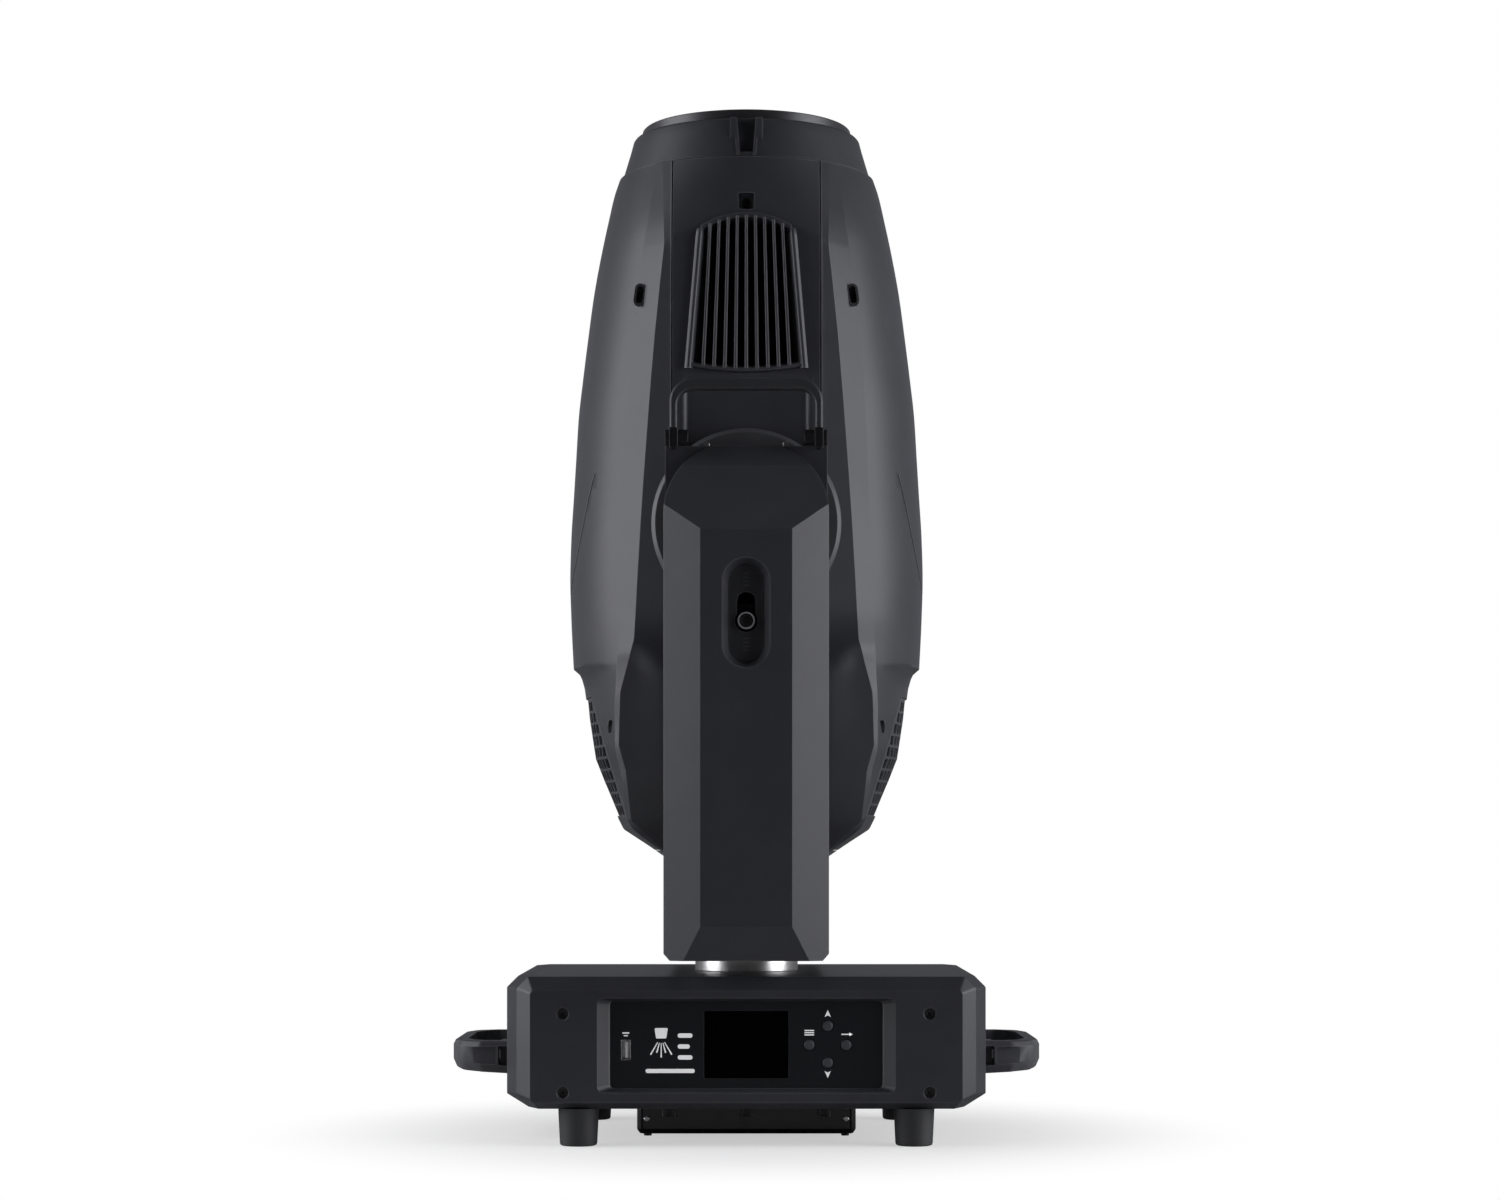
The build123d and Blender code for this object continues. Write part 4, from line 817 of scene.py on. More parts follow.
def handle_ends(handle):
    """At both ends: a screwed pad, a recessed face, a hollow behind it and grip grooves."""
    root, half, (z_low, z_high) = HANDLE_ROOT, HANDLE_HALF_LENGTH, HANDLE_Z
    for side in (-1, 1):
        pad = rectangle((root, root + 7.0), sided(side, 50, 65), 1.5)
        weld(handle, prism("z", pad, z_low, z_high))
        pocket = rectangle((187.2, 205.0), (58.5, 70.5), 1.5)
        carve(handle, prism("y", pocket, *sided(side, half - 2.6, half + 2.0)))
        hollow = rectangle((root - 1.0, 185.6), (58.0, 71.0), 0.8)
        carve(handle, prism("y", hollow, *sided(side, half - 7.0, half + 2.0)))
        screw = disc_outline(side * 57.5, (z_low + z_high) / 2, 2.5, 24)
        carve(handle, prism("x", screw, root - 2, root + 12))
    for index in range(7):
        z = z_low + 2.6 + index * 2.8
        for side in (-1, 1):
            groove = rectangle((root + 0.8, root + 7.6), (z, z + 1.3))
            carve(handle, prism("y", groove, *sided(side, half - 0.9, half + 1.0)))


def side_handles():
    """Rigid loops, thinner towards the grip, with a pin in each end."""
    handle = handle_form()
    handle_ends(handle)
    root, half, (z_low, z_high) = HANDLE_ROOT, HANDLE_HALF_LENGTH, HANDLE_Z
    for vertex in handle.data.vertices:
        near = 1.0 - (vertex.co.x / MM - root) / (HANDLE_REACH - root)
        depth = (z_high - vertex.co.z / MM) / (z_high - z_low)
        vertex.co.z -= 2.6 * MM * max(0.0, near * depth)
    finish_pair(handle, "side_handle_left", "x", HANDLE, "base", "shell_plastic", ["side_handles"],
                width=0.7)
    pin = [(0.0, 61.5), (0.7, 61.5), (0.7, 68.0), (0.0, 68.0)]
    pins = [lathe(pin, "z", (x, y, 0.0), 16) for x in (-184.4, 184.4) for y in (-half + 2.2, half - 2.2)]
    add_piece("side_handle_pins", pins, PALE_METAL, "base", "bright_steel", angle=40)


def feet():
    """Four rubber feet, wider at the top, with a screw hole below."""
    high = node_box("rubber_feet")[1]
    x, y, top = high[0] - 14.5, high[1] - 14.5, high[2]
    profile = [(5.5, 0.0), (12.2, 0.0), (13.3, 0.5), (13.8, 1.8), (15.0, top - 1.0), (15.0, top), (2.2, top),
               (2.2, 14.0), (5.5, 14.0)]
    shapes = [lathe(profile, "z", (i * x, j * y, 0.0), 56) for i in (-1, 1) for j in (-1, 1)]
    add_piece("rubber_feet_moulded", shapes, RUBBER, "base", "rubber", ["rubber_feet"], angle=40)


def bottom_cover():
    """Glossy pan with rounded corners, three grooved bosses and four screws on its front."""
    low, high = node_box("bottom_cover")
    half_x, half_y = high[0], high[1]

    def outline(inset, radius):
        return rectangle((-half_x + inset, half_x - inset), (-half_y + inset, half_y - inset), radius, 6)

    outer = outline(0.0, 6.0)
    tray = tapered("z", (outline(2.2, 4.2), low[2]), (outer, low[2] + 3.2), (outer, high[2]))
    pan = make("underside_pan", tray)
    carve(pan, prism("z", outline(2.5, 4.0), low[2] + 3.4, high[2] + 1))
    soften(pan, 0.6, 3)
    boss = prism("z", rectangle((-5.5, 5.5), (-half_y - 2.9, -half_y + 1.0), 2.0), 16.5, high[2])
    groove = prism("z", rectangle((-2.2, 2.2), (-half_y - 4.0, -half_y - 1.4), 0.6), 17.5, high[2] + 1)
    # The bosses get a lighter material than the gloss pan: painted light that lifts them out of the shade
    # under the base.
    bosses = make("underside_pan_bosses", *[shifted(boss, x) for x in PAN_BOSS_X])
    carve(bosses, *[shifted(groove, x) for x in PAN_BOSS_X])
    finish(bosses, BOSS_PAINTED_LIGHT, "base", "gloss_black", width=0.5)
    head = [(0.0, -1.0), (1.6, -1.0), (2.2, -0.4), (2.2, 1.0), (0.0, 1.0)]
    screws = [lathe(head, "y", (x, -half_y, z), 24) for x in (-75.0, 75.0) for z in (24.4, 15.0)]
    add_piece("underside_pan_screws", screws, STEEL, "base", "bright_steel", angle=40)
    dress(pan, GLOSSY, "base", ["bottom_cover"])


base()
screw_head_rings()
control_panel()
usb_socket()
printed_marks()
side_handles()
feet()
bottom_cover()

# ---------------------------------------------------------------- yoke


def arm_form(inset):
    """Solid faceted form of the front arm, drawn in by inset, as an object."""
    half = ARM_HALF_WIDTH - inset
    foot = ARM_FOOT_Z + inset
    outer_y = ARM_OUTER_Y + inset
    angles = [math.pi * step / 96 for step in range(97)]
    arc = [(half * math.cos(angle), TILT_Z + half * math.sin(angle)) for angle in angles]
    outline = [(half - 4.5, foot), (half, foot + 5.0)] + arc + [(-half, foot + 5.0), (-half + 4.5, foot)]
    arm = make("arm_tool", prism("y", outline, outer_y, ARM_SPLIT_Y))
    shoulder = ARM_SHOULDER_Y + inset / 2
    for side in (-1, 1):
        edge = ARM_FACET_HALF_WIDTH - inset / 4
        facet = [(side * edge, outer_y), (side * half, shoulder), (side * 80, shoulder - 2.0),
                 (side * 80, -230), (side * edge, -230)]
        carve(arm, prism("z", facet, 100, 600))
    slope = [(y + 0.8 * inset, z - 0.8 * inset) for y, z in ARM_SLOPE]
    carve(arm, prism("x", slope + [(slope[-1][0], 600), (-230, 600), (-230, slope[0][1])], -90, 90))
    band_y = ARM_BAND_FOOT_Y + inset
    band = [(outer_y, ARM_BAND_Z), (-230, ARM_BAND_Z), (-230, 100), (band_y - 0.5, 100), (band_y, foot)]
    carve(arm, prism("x", band, -90, 90))
    return arm


def hollow_arm(name):
    arm = arm_form(0.0)
    arm.name = name
    round_edges(arm, 1.0)
    cavity = arm_form(ARM_WALL)
    cavity.data.transform(Matrix.Translation((0, 0.6 * MM, 0)))
    cut_with(arm, "DIFFERENCE", cavity)
    return arm


def pocket_form(mouth, floor, y_mouth, y_floor):
    """Oval pocket with sloped walls. mouth and floor are (half width, half height)."""
    return tapered("y", (oval(0, POCKET_Z, *mouth), y_mouth), (oval(0, POCKET_Z, *floor), y_floor))


def lock_openings(y_low, y_high):
    """Slot of the tilt lock and the round hole around its knob."""
    return (prism("y", oval(0, LOCK_SLOT_Z, 6.5, 13.85), y_low, y_high),
            prism("y", disc_outline(0, LOCK_KNOB_Z, 8.0), y_low, y_high))


def arms():
    """Outer covers of both arms. Only the front one has the pocket of the tilt lock."""
    plain = hollow_arm("arm_rear_tool")
    front = plain.copy()
    front.data = plain.data.copy()
    front.name = "arm_shell_front"
    bpy.context.scene.collection.objects.link(front)
    rear = mirror_piece(plain, "arm_shell_rear", "y")
    bpy.data.objects.remove(plain)

    weld(front, pocket_form((19.0, 41.0), (15.0, 36.5), ARM_OUTER_Y + 1.0, POCKET_FLOOR_Y + 2.5))
    carve(front, pocket_form((17.9, 40.0), (12.3, 34.0), ARM_OUTER_Y - 1.5, POCKET_FLOOR_Y))
    carve(front, *lock_openings(POCKET_FLOOR_Y - 2, POCKET_FLOOR_Y + 4))
    for arm, node in ((front, "arm_cover_front"), (rear, "arm_cover_rear")):
        finish(arm, SHELL, "yoke", "shell_plastic", [node], 0.6, 3, 15.0)


def lock_scale():
    """Dark plate on the pocket floor, with the slot and two short ladders of raised marks."""
    face = POCKET_FLOOR_Y - 0.7
    plate = make("lock_scale_plate", prism("y", oval(0, POCKET_Z, 12.2, 33.8), face, POCKET_FLOOR_Y - 0.05))
    carve(plate, *lock_openings(face - 1, POCKET_FLOOR_Y + 1))
    finish(plate, PAINT, "yoke", "panel_plastic", (), 0.12, 2, 40.0)
    marks = []
    for low in (359.2, 405.4):
        for z in (low, low + 2.8, low + 5.6, low + 8.4):
            mark = rectangle((-2.2, 2.2), (z - 0.5, z + 0.5), 0.3)
            marks.append(prism("y", mark, face - 0.25, face + 0.1))
    add_piece("lock_scale_marks", marks, BUTTON, "yoke", "panel_plastic", angle=40)


def lock_knob():
    """Dark cap with a pale ring on the end of the lock knob. The ring's pale colour is a painted highlight,
    standing in for the bright reflection of its metal.
    """
    cap = [(0.0, 0.9), (3.0, 0.9), (3.6, -0.2), (5.2, -0.2), (5.2, 1.5), (0.0, 3.0)]
    ring = [(5.0, 0.3), (5.1, -0.6), (5.9, -0.6), (6.2, 0.0), (6.2, 1.4), (5.0, 1.4)]
    for name, profile, material, angle in (("cap", cap, EAR_BLACK, 45), ("ring", ring, PALE_METAL, 60)):
        shape = lathe(profile, "y", (0, KNOB_LOW[1], LOCK_KNOB_Z), 48)
        add_piece("lock_knob_" + name, [shape], material, "tilt_lock", "bright_steel", angle=angle)


def bail_path(low_z, half, top):
    """(x, z) points along the bail, from one leg tip over the bar to the other."""
    path = rounded([(-half, low_z), (-half, top), (half, top), (half, low_z)], 14.5, 14, closed=False)
    path = [(-half, low_z + 20.0)] + path[1:-1] + [(half, low_z + 20.0)]
    return [(-half, low_z), (-half, low_z + 1.2)] + path + [(half, low_z + 1.2), (half, low_z)]


def bail(name, node, body, flip):
    """Lifting handle: a rounded bar bent into a U with rounded leg tips."""
    low, high = node_box("arm_handle_front")
    half, (y_low, y_high) = high[0] - 3.0, (low[1], high[1])
    middle = (y_low + y_high) / 2
    path = bail_path(low[2], half, high[2] - 4.5)
    loops = []
    for index, (x, z) in enumerate(path):
        before = Vector(path[max(index - 1, 0)])
        after = Vector(path[min(index + 1, len(path) - 1)])
        ahead = (after - before).normalized()
        side = Vector((ahead.y, -ahead.x))
        thick = 2.9 + 1.5 * abs(ahead.x)
        tip = 0.62 if index in (0, len(path) - 1) else 1.0
        section = rectangle((-thick * tip, thick * tip), ((y_low - middle) * tip, (y_high - middle) * tip),
                            2.4 * tip, 5)
        loops.append([(x + side.x * a, middle + b, z + side.y * a) for a, b in section])
    shape = stack(loops)
    handle = make(name, flipped(shape, "y") if flip else shape)
    pin_hole = disc_outline(-middle if flip else middle, BAIL_PIVOT_Z, 2.1, 24)
    carve(handle, prism("x", pin_hole, -70, 70))
    finish(handle, PAINT, body, "painted_metal", [node], angle=45)

    inner, outer, shoe_low, shoe_high = half - 3.2, half + 3.2, low[2] - 0.3, 522.0
    shoe = [(inner, shoe_high), (inner, shoe_low), (outer, shoe_low), (outer, shoe_high)]
    shoe = rounded(shoe, [0.0, 3.0, 3.0, 0.0], 6)
    tips = [prism("y", [(side * x, z) for x, z in shoe], y_low - 0.3, y_high + 0.3) for side in (1, -1)]
    if flip:
        tips = [flipped(shape, "y") for shape in tips]
    add_piece(name + "_tips", tips, EAR_BLACK, body, "black_steel", width=0.6)


def bail_ears():
    """Clevis ears with rounded tops and the pins of both bails."""
    low, high = node_box("bail_brackets")
    z_low, z_high = low[2], high[2]
    back, front = 130.0, 160.0
    ear = [(-front, z_low), (-back, z_low), (-back, z_high - 1), (-150.0, z_high - 1), (-156.0, z_high),
           (-front, z_high - 3.0)]
    ear = rounded(ear, [0.5, 0.5, 2.0, 3.0, 3.0, 2.5], 4)
    pin = [(0.0, -7.5), (2.9, -7.5), (3.2, -6.9), (3.2, -6.3), (2.0, -6.3), (2.0, 5.0), (0.0, 5.0)]
    shapes = []
    for side in (-1, 1):
        for inner, outer in ((42.0, 49.2), (55.8, 58.5)):
            shapes.append(prism("x", ear, *sided(side, inner, outer)))
        web = rectangle(sided(side, 42.0, 58.5), (-back - 8.0, -back))
        shapes.append(prism("z", web, z_low, z_high - 2.0))
        pin_shape = lathe(pin, "x", (52.0, -155.5, BAIL_PIVOT_Z), 28)
        shapes.append(pin_shape if side > 0 else flipped(pin_shape, "x"))
    add_piece("bail_ears_front", shapes, EAR_BLACK, "yoke", "black_steel", ["bail_brackets"], width=0.35)
    shapes = [flipped(shape, "y") for shape in shapes]
    add_piece("bail_ears_rear", shapes, EAR_BLACK, "yoke", "black_steel", width=0.35)


def arm_top_hooks():
    """Four small latches on the flat tops of the inner covers."""
    shapes = []
    for y in (-133.0, 133.0):
        for x in (-29.0, 29.0):
            latch = rectangle((x - 2.2, x + 2.2), (BLOCK_TOP - 1, BLOCK_TOP + 3.6))
            shapes.append(prism("y", rounded(latch, [0.0, 0.0, 1.6, 1.6]), y - 3.0, y + 3.0))
    add_piece("arm_top_latches", shapes, STEEL, "yoke", "shell_plastic", width=0.3)


arms()
lock_scale()
lock_knob()
bail("lifting_bail_front", "arm_handle_front", "bail_front", False)
bail("lifting_bail_rear", "arm_handle_rear", "bail_rear", True)
bail_ears()
arm_top_hooks()

# ---------------------------------------------------------------- head

# Half width of the silhouette at each height. Below the step at HEAD_STEP_Z the sides are tighter.
HEAD_WIDTH = smooth_through([
    (356, 133.1), (395, 135.0), (425, 135.8), (456, 135.0), (487, 133.1), (518, 131.2), (549, 129.3),
    (580, 125.8), (611, 121.9), (642, 117.7), (672, 112.3), (703, 105.7), (719, 102.0), (HEAD_TOP, 98.0)])
TAIL_WIDTH = straight_through([
    (203, 48.0), (213, 64.5), (219, 73.0), (233, 94.5), (241, 98.4), (256, 104.6), (271, 111.0), (287, 117.3),
    (302, 119.6), (317, 121.9), (333, 123.5), (341, 124.6), (348, 126.6), (352, 128.5), (356, 133.1)])
# The crease is the edge of the flat front. Above its top it runs on into the nose.
CREASE_TOP_Z = 666.0
CREASE_X = straight_through([
    (203, 42.0), (217, 61.5), (239, 85.7), (276, 89.4), (295, 94.6), (334, 93.3), (373, 82.9), (415, 80.8),
    (457.5, 78.3), (494, 75.9), (530, 73.2), (565, 70.5), (600, 67.5), (633, 64.1), (CREASE_TOP_Z, 60.5)])
CREASE_Y = straight_through([
    (203, 66.0), (217, 76.0), (238, 88.0), (272, 99.5), (348, 106.8), (370, HEAD_HALF_DEPTH),
    (CREASE_TOP_Z, HEAD_HALF_DEPTH)])
# The soft edge is where the curved flank starts.
SOFT_X = smooth_through([
    (203, 46.0), (217, 64.5), (239, 88.4), (276, 93.4), (295, 97.6), (318, 97.6), (334, 97.0), (356, 95.8),
    (430, 93.8), (504, 90.2), (541, 88.7), (615, 83.4), (672, 75.5), (HEAD_TOP, 66.0)])
SOFT_Y = smooth_through([
    (203, 60.0), (217, 70.0), (238, 82.5), (272, 91.8), (295, 93.2), (318, 95.6), (334, 96.6), (356, 96.8),
    (457.5, 94.7), (530, 92.2), (600, 90.6), (672, 89.5), (HEAD_TOP, 72.4)])


def silhouette(z):
    return HEAD_WIDTH(z) if z > HEAD_STEP_Z else TAIL_WIDTH(z)


def fold_height(x):
    """The front turns back towards the nose above this arc."""
    return 682.0 - 17.5 * (x / 62.0) ** 2


def tail_depth(x, z):
    """Distance of the front below its diagonal fold, which rises from |x| = 61 to 83."""
    fold = 348.0 + 22.0 * ease((abs(x) - 61.0) / 22.0)
    low_fold = 272.0
    sideways = 0.17 * max(0.0, abs(x) - 59.0)
    if z >= fold:
        return HEAD_HALF_DEPTH
    if z >= low_fold:
        share = (z - low_fold) / (fold - low_fold)
        return 100.5 + (HEAD_HALF_DEPTH - 100.5) * share - sideways * min(1.0, (1.0 - share) * 8.0)
    return CREASE_Y(z) + ease((z - 217.0) / 40.0) - sideways * ease((z - 217.0) / 55.0)


def side_fall(x, z):
    """How far the flank covers slope back between the seam and the crease."""
    return 0.26 * max(0.0, abs(x) - SEAM_X) * ease((z - 360.0) / 40.0) * ease((HEAD_TOP - z) / 50.0)


def front_depth(x, z):
    """Distance of the flat front from the centre plane."""
    if z < 372:
        return tail_depth(x, z) - side_fall(x, z)
    fold = fold_height(x)
    if z <= fold:
        return HEAD_HALF_DEPTH - side_fall(x, z)
    share = (z - fold) / (HEAD_TOP - fold)
    return HEAD_HALF_DEPTH + share * (math.sqrt(NOSE_RADIUS**2 - x * x) - HEAD_HALF_DEPTH) - side_fall(x, z)


def crease_point(z):
    x = CREASE_X(z)
    if z > CREASE_TOP_Z:
        x += 2.3 * (z - CREASE_TOP_Z) / (HEAD_TOP - CREASE_TOP_Z)
    return x, front_depth(x, z)


def arc_through(start, half_width):
    """Centre and radius of the arc from start to the side point and on to start mirrored."""
    x, y = start
    sagitta = half_width - x
    radius = (y * y + sagitta * sagitta) / (2 * sagitta)
    return half_width - radius, radius


def flank_arc(start, half_width, count):
    """Points of the arc through start, the side point and start mirrored, without its ends."""
    centre, radius = arc_through(start, half_width)
    swing = math.asin(start[1] / radius)
    angles = [-swing + 2 * swing * step / (count + 1) for step in range(1, count + 1)]
    return [(centre + radius * math.cos(a), radius * math.sin(a)) for a in angles]


def cover_row(z):
    """Section of the right cover at one height, from the front seam to the rear seam."""
    crease_x, crease_y = crease_point(z)
    soft = (SOFT_X(z), SOFT_Y(z) - side_fall(CREASE_X(z), z))
    seam_depth = front_depth(SEAM_X, z)
    flank = flank_arc(soft, silhouette(z), 25)
    between = [SEAM_X + share * (crease_x - SEAM_X) for share in (0.12, 0.3, 0.5, 0.7, 0.85)]
    front = [(SEAM_X + 0.5, -seam_depth)] + [(x, -front_depth(x, z)) for x in between]
    front += [(crease_x, -crease_y), (soft[0], -soft[1]), flank[0]]
    fade = min(1.0, (HEAD_TOP - z) / 60.0)
    soft_radius = 9.0 if z > 365 else 1.5
    radii = [0.0] * 6 + [1.0, soft_radius * (0.3 + 0.7 * fade), 0.0]
    corner = rounded(front, radii, 6, closed=False)[:-1]
    half = corner + flank[:12]
    middle = flank[12]
    path = half + [middle] + [(x, -y) for x, y in reversed(half)]
    return [(x, y, z) for x, y in path]


def spaced(low, high, count):
    return [low + (high - low) * index / (count - 1) for index in range(count)]


COVER_BOTTOM = 217.2
GRILLE_Z = (243.0, 333.0)


def grille_edge(z):
    """Half width at which a side grille begins, measured from the centre."""
    low, high = GRILLE_Z
    return 89.5 + (117.5 - 89.5) * (z - low) / (high - low)


def flank_depth(x, z, inset=0.0):
    """Distance of the flank's surface from the centre plane at a half width."""
    centre, radius = arc_through((SOFT_X(z) - inset, SOFT_Y(z) - inset), silhouette(z) - inset)
    across = x - centre
    return math.sqrt(max(radius * radius - across * across, 0.0))


def grille_outline(inset):
    """(x, z) outline of the area the side grille covers."""
    low, high = GRILLE_Z[0] + inset, GRILLE_Z[1] - inset
    return [(grille_edge(low) + inset, low), (150.0, low), (150.0, high), (grille_edge(high) + inset, high)]


def flank_seam():
    """Thin curved slit across the right flank, as a tool to cut with."""
    path = [(113.6, 500.0), (116.0, 492.0), (119.0, 480.0), (124.0, 458.0), (129.0, 436.0), (133.5, 418.0),
            (137.5, 404.0)]
    side = [(x + 0.42, z + 0.12) for x, z in path]
    return prism("y", path + side[::-1], -140.0, 140.0)


def slot_tool(x, z, half_width, half_height, steps, y_low, y_high):
    """Leaning oval that runs along y at one place of the flank."""
    upright = prism("y", oval(0.0, 0.0, half_width, half_height, steps), y_low, y_high)
    return shifted(turned(upright, "y", -8.0), x, 0.0, z)


def head_covers():
    """The two large curved flanks, which run from the nose to the tail, with their screw pockets."""
    heights = [COVER_BOTTOM, 222.0, 227.0, 232.5, 234.0, 239.0, 241.0, 248.0, 256.0, 264.0, 271.0, 276.0]
    heights += [281.0, 287.0, 291.0, 295.0] + spaced(298.0, 334.0, 19) + spaced(337.0, 345.0, 5)
    heights += [348.0, 350.0, 352.0, 354.2, HEAD_STEP_Z, 358.0] + spaced(361.0, 373.0, 5)
    heights += spaced(378.0, 660.0, 57) + spaced(662.5, HEAD_TOP, 28)
    cover = make("head_flank_right", grid([cover_row(z) for z in heights]))
    thicken(cover, 3.0)
    carve(cover, flank_seam())
    carve(cover, prism("y", grille_outline(0.0), -140.0, 140.0))
    cup = slot_tool(79.0, 629.0, 4.2, 8.4, 12, -94.5, -85.0)
    well = slot_tool(79.0, 629.0, 2.5, 6.6, 16, -120.0, -87.6)
    tick = shifted(prism("y", rectangle((-2.2, 2.2), (-0.45, 0.45)), -120.0, -88.0), 84.6, 0.0, 616.0)
    latch = slot_tool(101.5, 309.0, 1.7, 5.0, 12, -120.0, -83.0)
    weld(cover, cup, flipped(cup, "y"))
    for cutter in (well, tick, latch):
        carve(cover, cutter, flipped(cutter, "y"))
    finish_pair(cover, "head_flank_left", "x", SHELL, "head", "shell_plastic", ["head_cover_right"],
                ["head_cover_left"], width=0.3, angle=40.0)


VENT_Z = (571.0, 686.0)
VENT_HALF = (45.2, 35.4)              # half width at the bottom and at the top
VENT_ROOT_Y = -98.0


def vent_half_width(z):
    low, high = VENT_Z
    return VENT_HALF[0] + (VENT_HALF[1] - VENT_HALF[0]) * (z - low) / (high - low)


def scoop_depth(x, z):
    """Shallow trough below the vent, deepest at the centre, with a firm step at each side."""
    lengthwise = ease((569.0 - z) / 8.0) * ease((z - 392.0) / 60.0)
    across = ease((46.5 - abs(x)) / 3.0)
    bowl = 1.0 - (min(abs(x), 46.0) / 46.0) ** 2
    ridge = ease(1.0 - abs(abs(x) - 48.2) / 1.6) * ease((569.0 - z) / 4.0) * ease((z - 380.0) / 40.0)
    return lengthwise * (across * 1.6 + bowl * 2.2) - ridge * 0.5


def panel_rows(columns):
    """Rows of the front panel's surface: below the trough, along it, and from the fold to the nose."""
    rows = []
    for z in [COVER_BOTTOM] + spaced(222.0, 270.0, 9) + [272.0] + spaced(278.0, 344.0, 12) + [348.0]:
        rows.append([(x, -front_depth(x, z), z) for x in columns])
    for share in spaced(0.0, 1.0, 116):
        places = [(x, 352.0 + share * (fold_height(x) - 352.0)) for x in columns]
        rows.append([(x, -front_depth(x, z) + scoop_depth(x, z), z) for x, z in places])
    for share in spaced(0.0, 1.0, 20)[1:]:
        places = [(x, fold_height(x) + share * (HEAD_TOP - fold_height(x))) for x in columns]
        rows.append([(x, -front_depth(x, z), z) for x, z in places])
    return rows


def side_plate(name):
    """Front panel between the straight seams, with the trough, the vent opening and the screw recess."""
    plate = make(name, grid(panel_rows(spaced(-SEAM_X + 0.5, SEAM_X - 0.5, 91))))
    thicken(plate, 3.0)
    (low, high), (foot, top) = VENT_Z, VENT_HALF
    opening = [(-foot + 1.5, low + 1), (foot - 1.5, low + 1), (top - 1.2, high - 12)]
    opening += [(x, high - 1 - 11 * (x / 34.0) ** 2) for x in spaced(32.5, -32.5, 13)]
    opening.append((-top + 1.2, high - 12))
    carve(plate, prism("y", opening, -125, -90))
    mouth = [(-6.4, 702.5), (-5.6, 690.0), (5.6, 690.0), (6.4, 702.5)]
    notch = [rounded([(x * grow, z) for x, z in mouth], [1.0, 2.0, 2.0, 1.0]) for grow in (1.0, 0.9)]
    carve(plate, tapered("y", (notch[0], -112.0), (notch[1], -99.6)))
    carve(plate, prism("y", disc_outline(0, 695.0, 3.9, 28), -112, -90))
    return plate


def side_plates():
    front = side_plate("side_panel_front")
    finish_pair(front, "side_panel_rear", "y", SHELL, "head", "shell_plastic", ["side_plate_front"],
                ["side_plate_rear"], width=0.35, angle=35.0)


def vent_top(x):
    return VENT_Z[1] + 1.8 - 9.5 * (x / 33.5) ** 2


def vent_bottom(x):
    return VENT_Z[0] - 2.0 + 4.5 * (x / 44.0) ** 2


def vent_rail(side):
    """Round rail along one side of the vent, which narrows at its top end."""
    low, high = VENT_Z
    section = [(-2.9, VENT_ROOT_Y), (4.4, VENT_ROOT_Y), (3.8, -108.5), (0.6, -113.0), (-2.9, -110.5)]
    section = rounded(section, [0, 0, 2.0, 3.0, 1.8], 5)
    levels = [(low + 1.0, 1.0, 0.0), (low + 6.0, 1.0, 0.0), (high - 16.0, 1.0, 0.0), (high - 12.5, 0.92, 0.4),
              (high - 10.5, 0.75, 1.4)]
    loops = []
    for z, grow, lift in levels:
        centre = side * (vent_half_width(z) - 2.2)
        loops.append([(centre - side * a * grow, min(b + lift, VENT_ROOT_Y), z) for a, b in section])
    return stack(loops)


def vent_bar(half_width, height, section):
    """Cross bar of the vent. section is (y, rise above height) and starts at the root."""
    places = spaced(-half_width, half_width, 33)
    return stack([[(x, y, height(x) + rise) for y, rise in section] for x in places])


def vent_fin(foot, tip):
    """Slim fin that leans from foot to tip and ends in a chamfered edge."""
    z_foot, z_tip = vent_bottom(foot) + 3.0, vent_top(tip) - 3.2
    loops = []
    for step in range(7):
        part = step / 6
        x = foot + (tip - foot) * part
        z = z_foot + (z_tip - z_foot) * part
        half = 1.35 - 0.2 * part
        section = [(-half, -99.0), (half, -99.0), (half, -110.6), (half * 0.5, -111.3), (-half * 0.5, -111.3),
                   (-half, -110.6)]
        loops.append([(x + a, b, z) for a, b in section])
    return stack(loops)


def vent_wall(side):
    """Inner wall beside the rail, which closes the view into the head."""
    loops = []
    for z in (VENT_Z[0] + 2.0, VENT_Z[1] - 12.0):
        edge = side * (vent_half_width(z) - 4.6)
        loops.append([(edge, -109.5, z), (edge, VENT_ROOT_Y, z), (edge - side * 8.0, VENT_ROOT_Y, z),
                      (edge - side * 6.6, -101.0, z)])
    return stack(loops)


def vent(name):
    """Raised grille: two round rails, an arched top, a bowed bottom lip and nine flaring fins."""
    arch = [(VENT_ROOT_Y, 0.0), (-108.3, 0.0), (-109.8, -1.6), (-109.9, -4.0), (-107.0, -6.0),
            (VENT_ROOT_Y, -6.4)]
    lip = [(VENT_ROOT_Y, 0.0), (-109.0, 0.0), (-111.2, 1.2), (-111.2, 3.0), (-107.5, 5.6), (VENT_ROOT_Y, 6.0)]
    shapes = [vent_rail(side) for side in (-1, 1)]
    shapes += [vent_bar(33.5, vent_top, arch), vent_bar(41.0, vent_bottom, lip)]
    shapes += [vent_fin(share * 31.8, share * 26.6) for share in spaced(-1.0, 1.0, 9)]
    shapes += [vent_wall(side) for side in (-1, 1)]
    return make(name, *shapes)


def vents():
    """Both vent grilles and the pleated filters behind them."""
    finish_pair(vent("vent_grille_front"), "vent_grille_rear", "y", SHELL, "head", "shell_plastic",
                ["vent_grilles"], width=0.3, angle=40.0)
    folds = [(x, -96.2 if index % 2 else -93.4) for index, x in enumerate(spaced(-44.0, 44.0, 37))]
    pleats = prism("z", folds + [(x, y + 1.0) for x, y in reversed(folds)], 560.0, 692.0)
    for name, shape in (("vent_filter_front", pleats), ("vent_filter_rear", flipped(pleats, "y"))):
        add_piece(name, [shape], FOAM, "head", "rubber", angle=20)


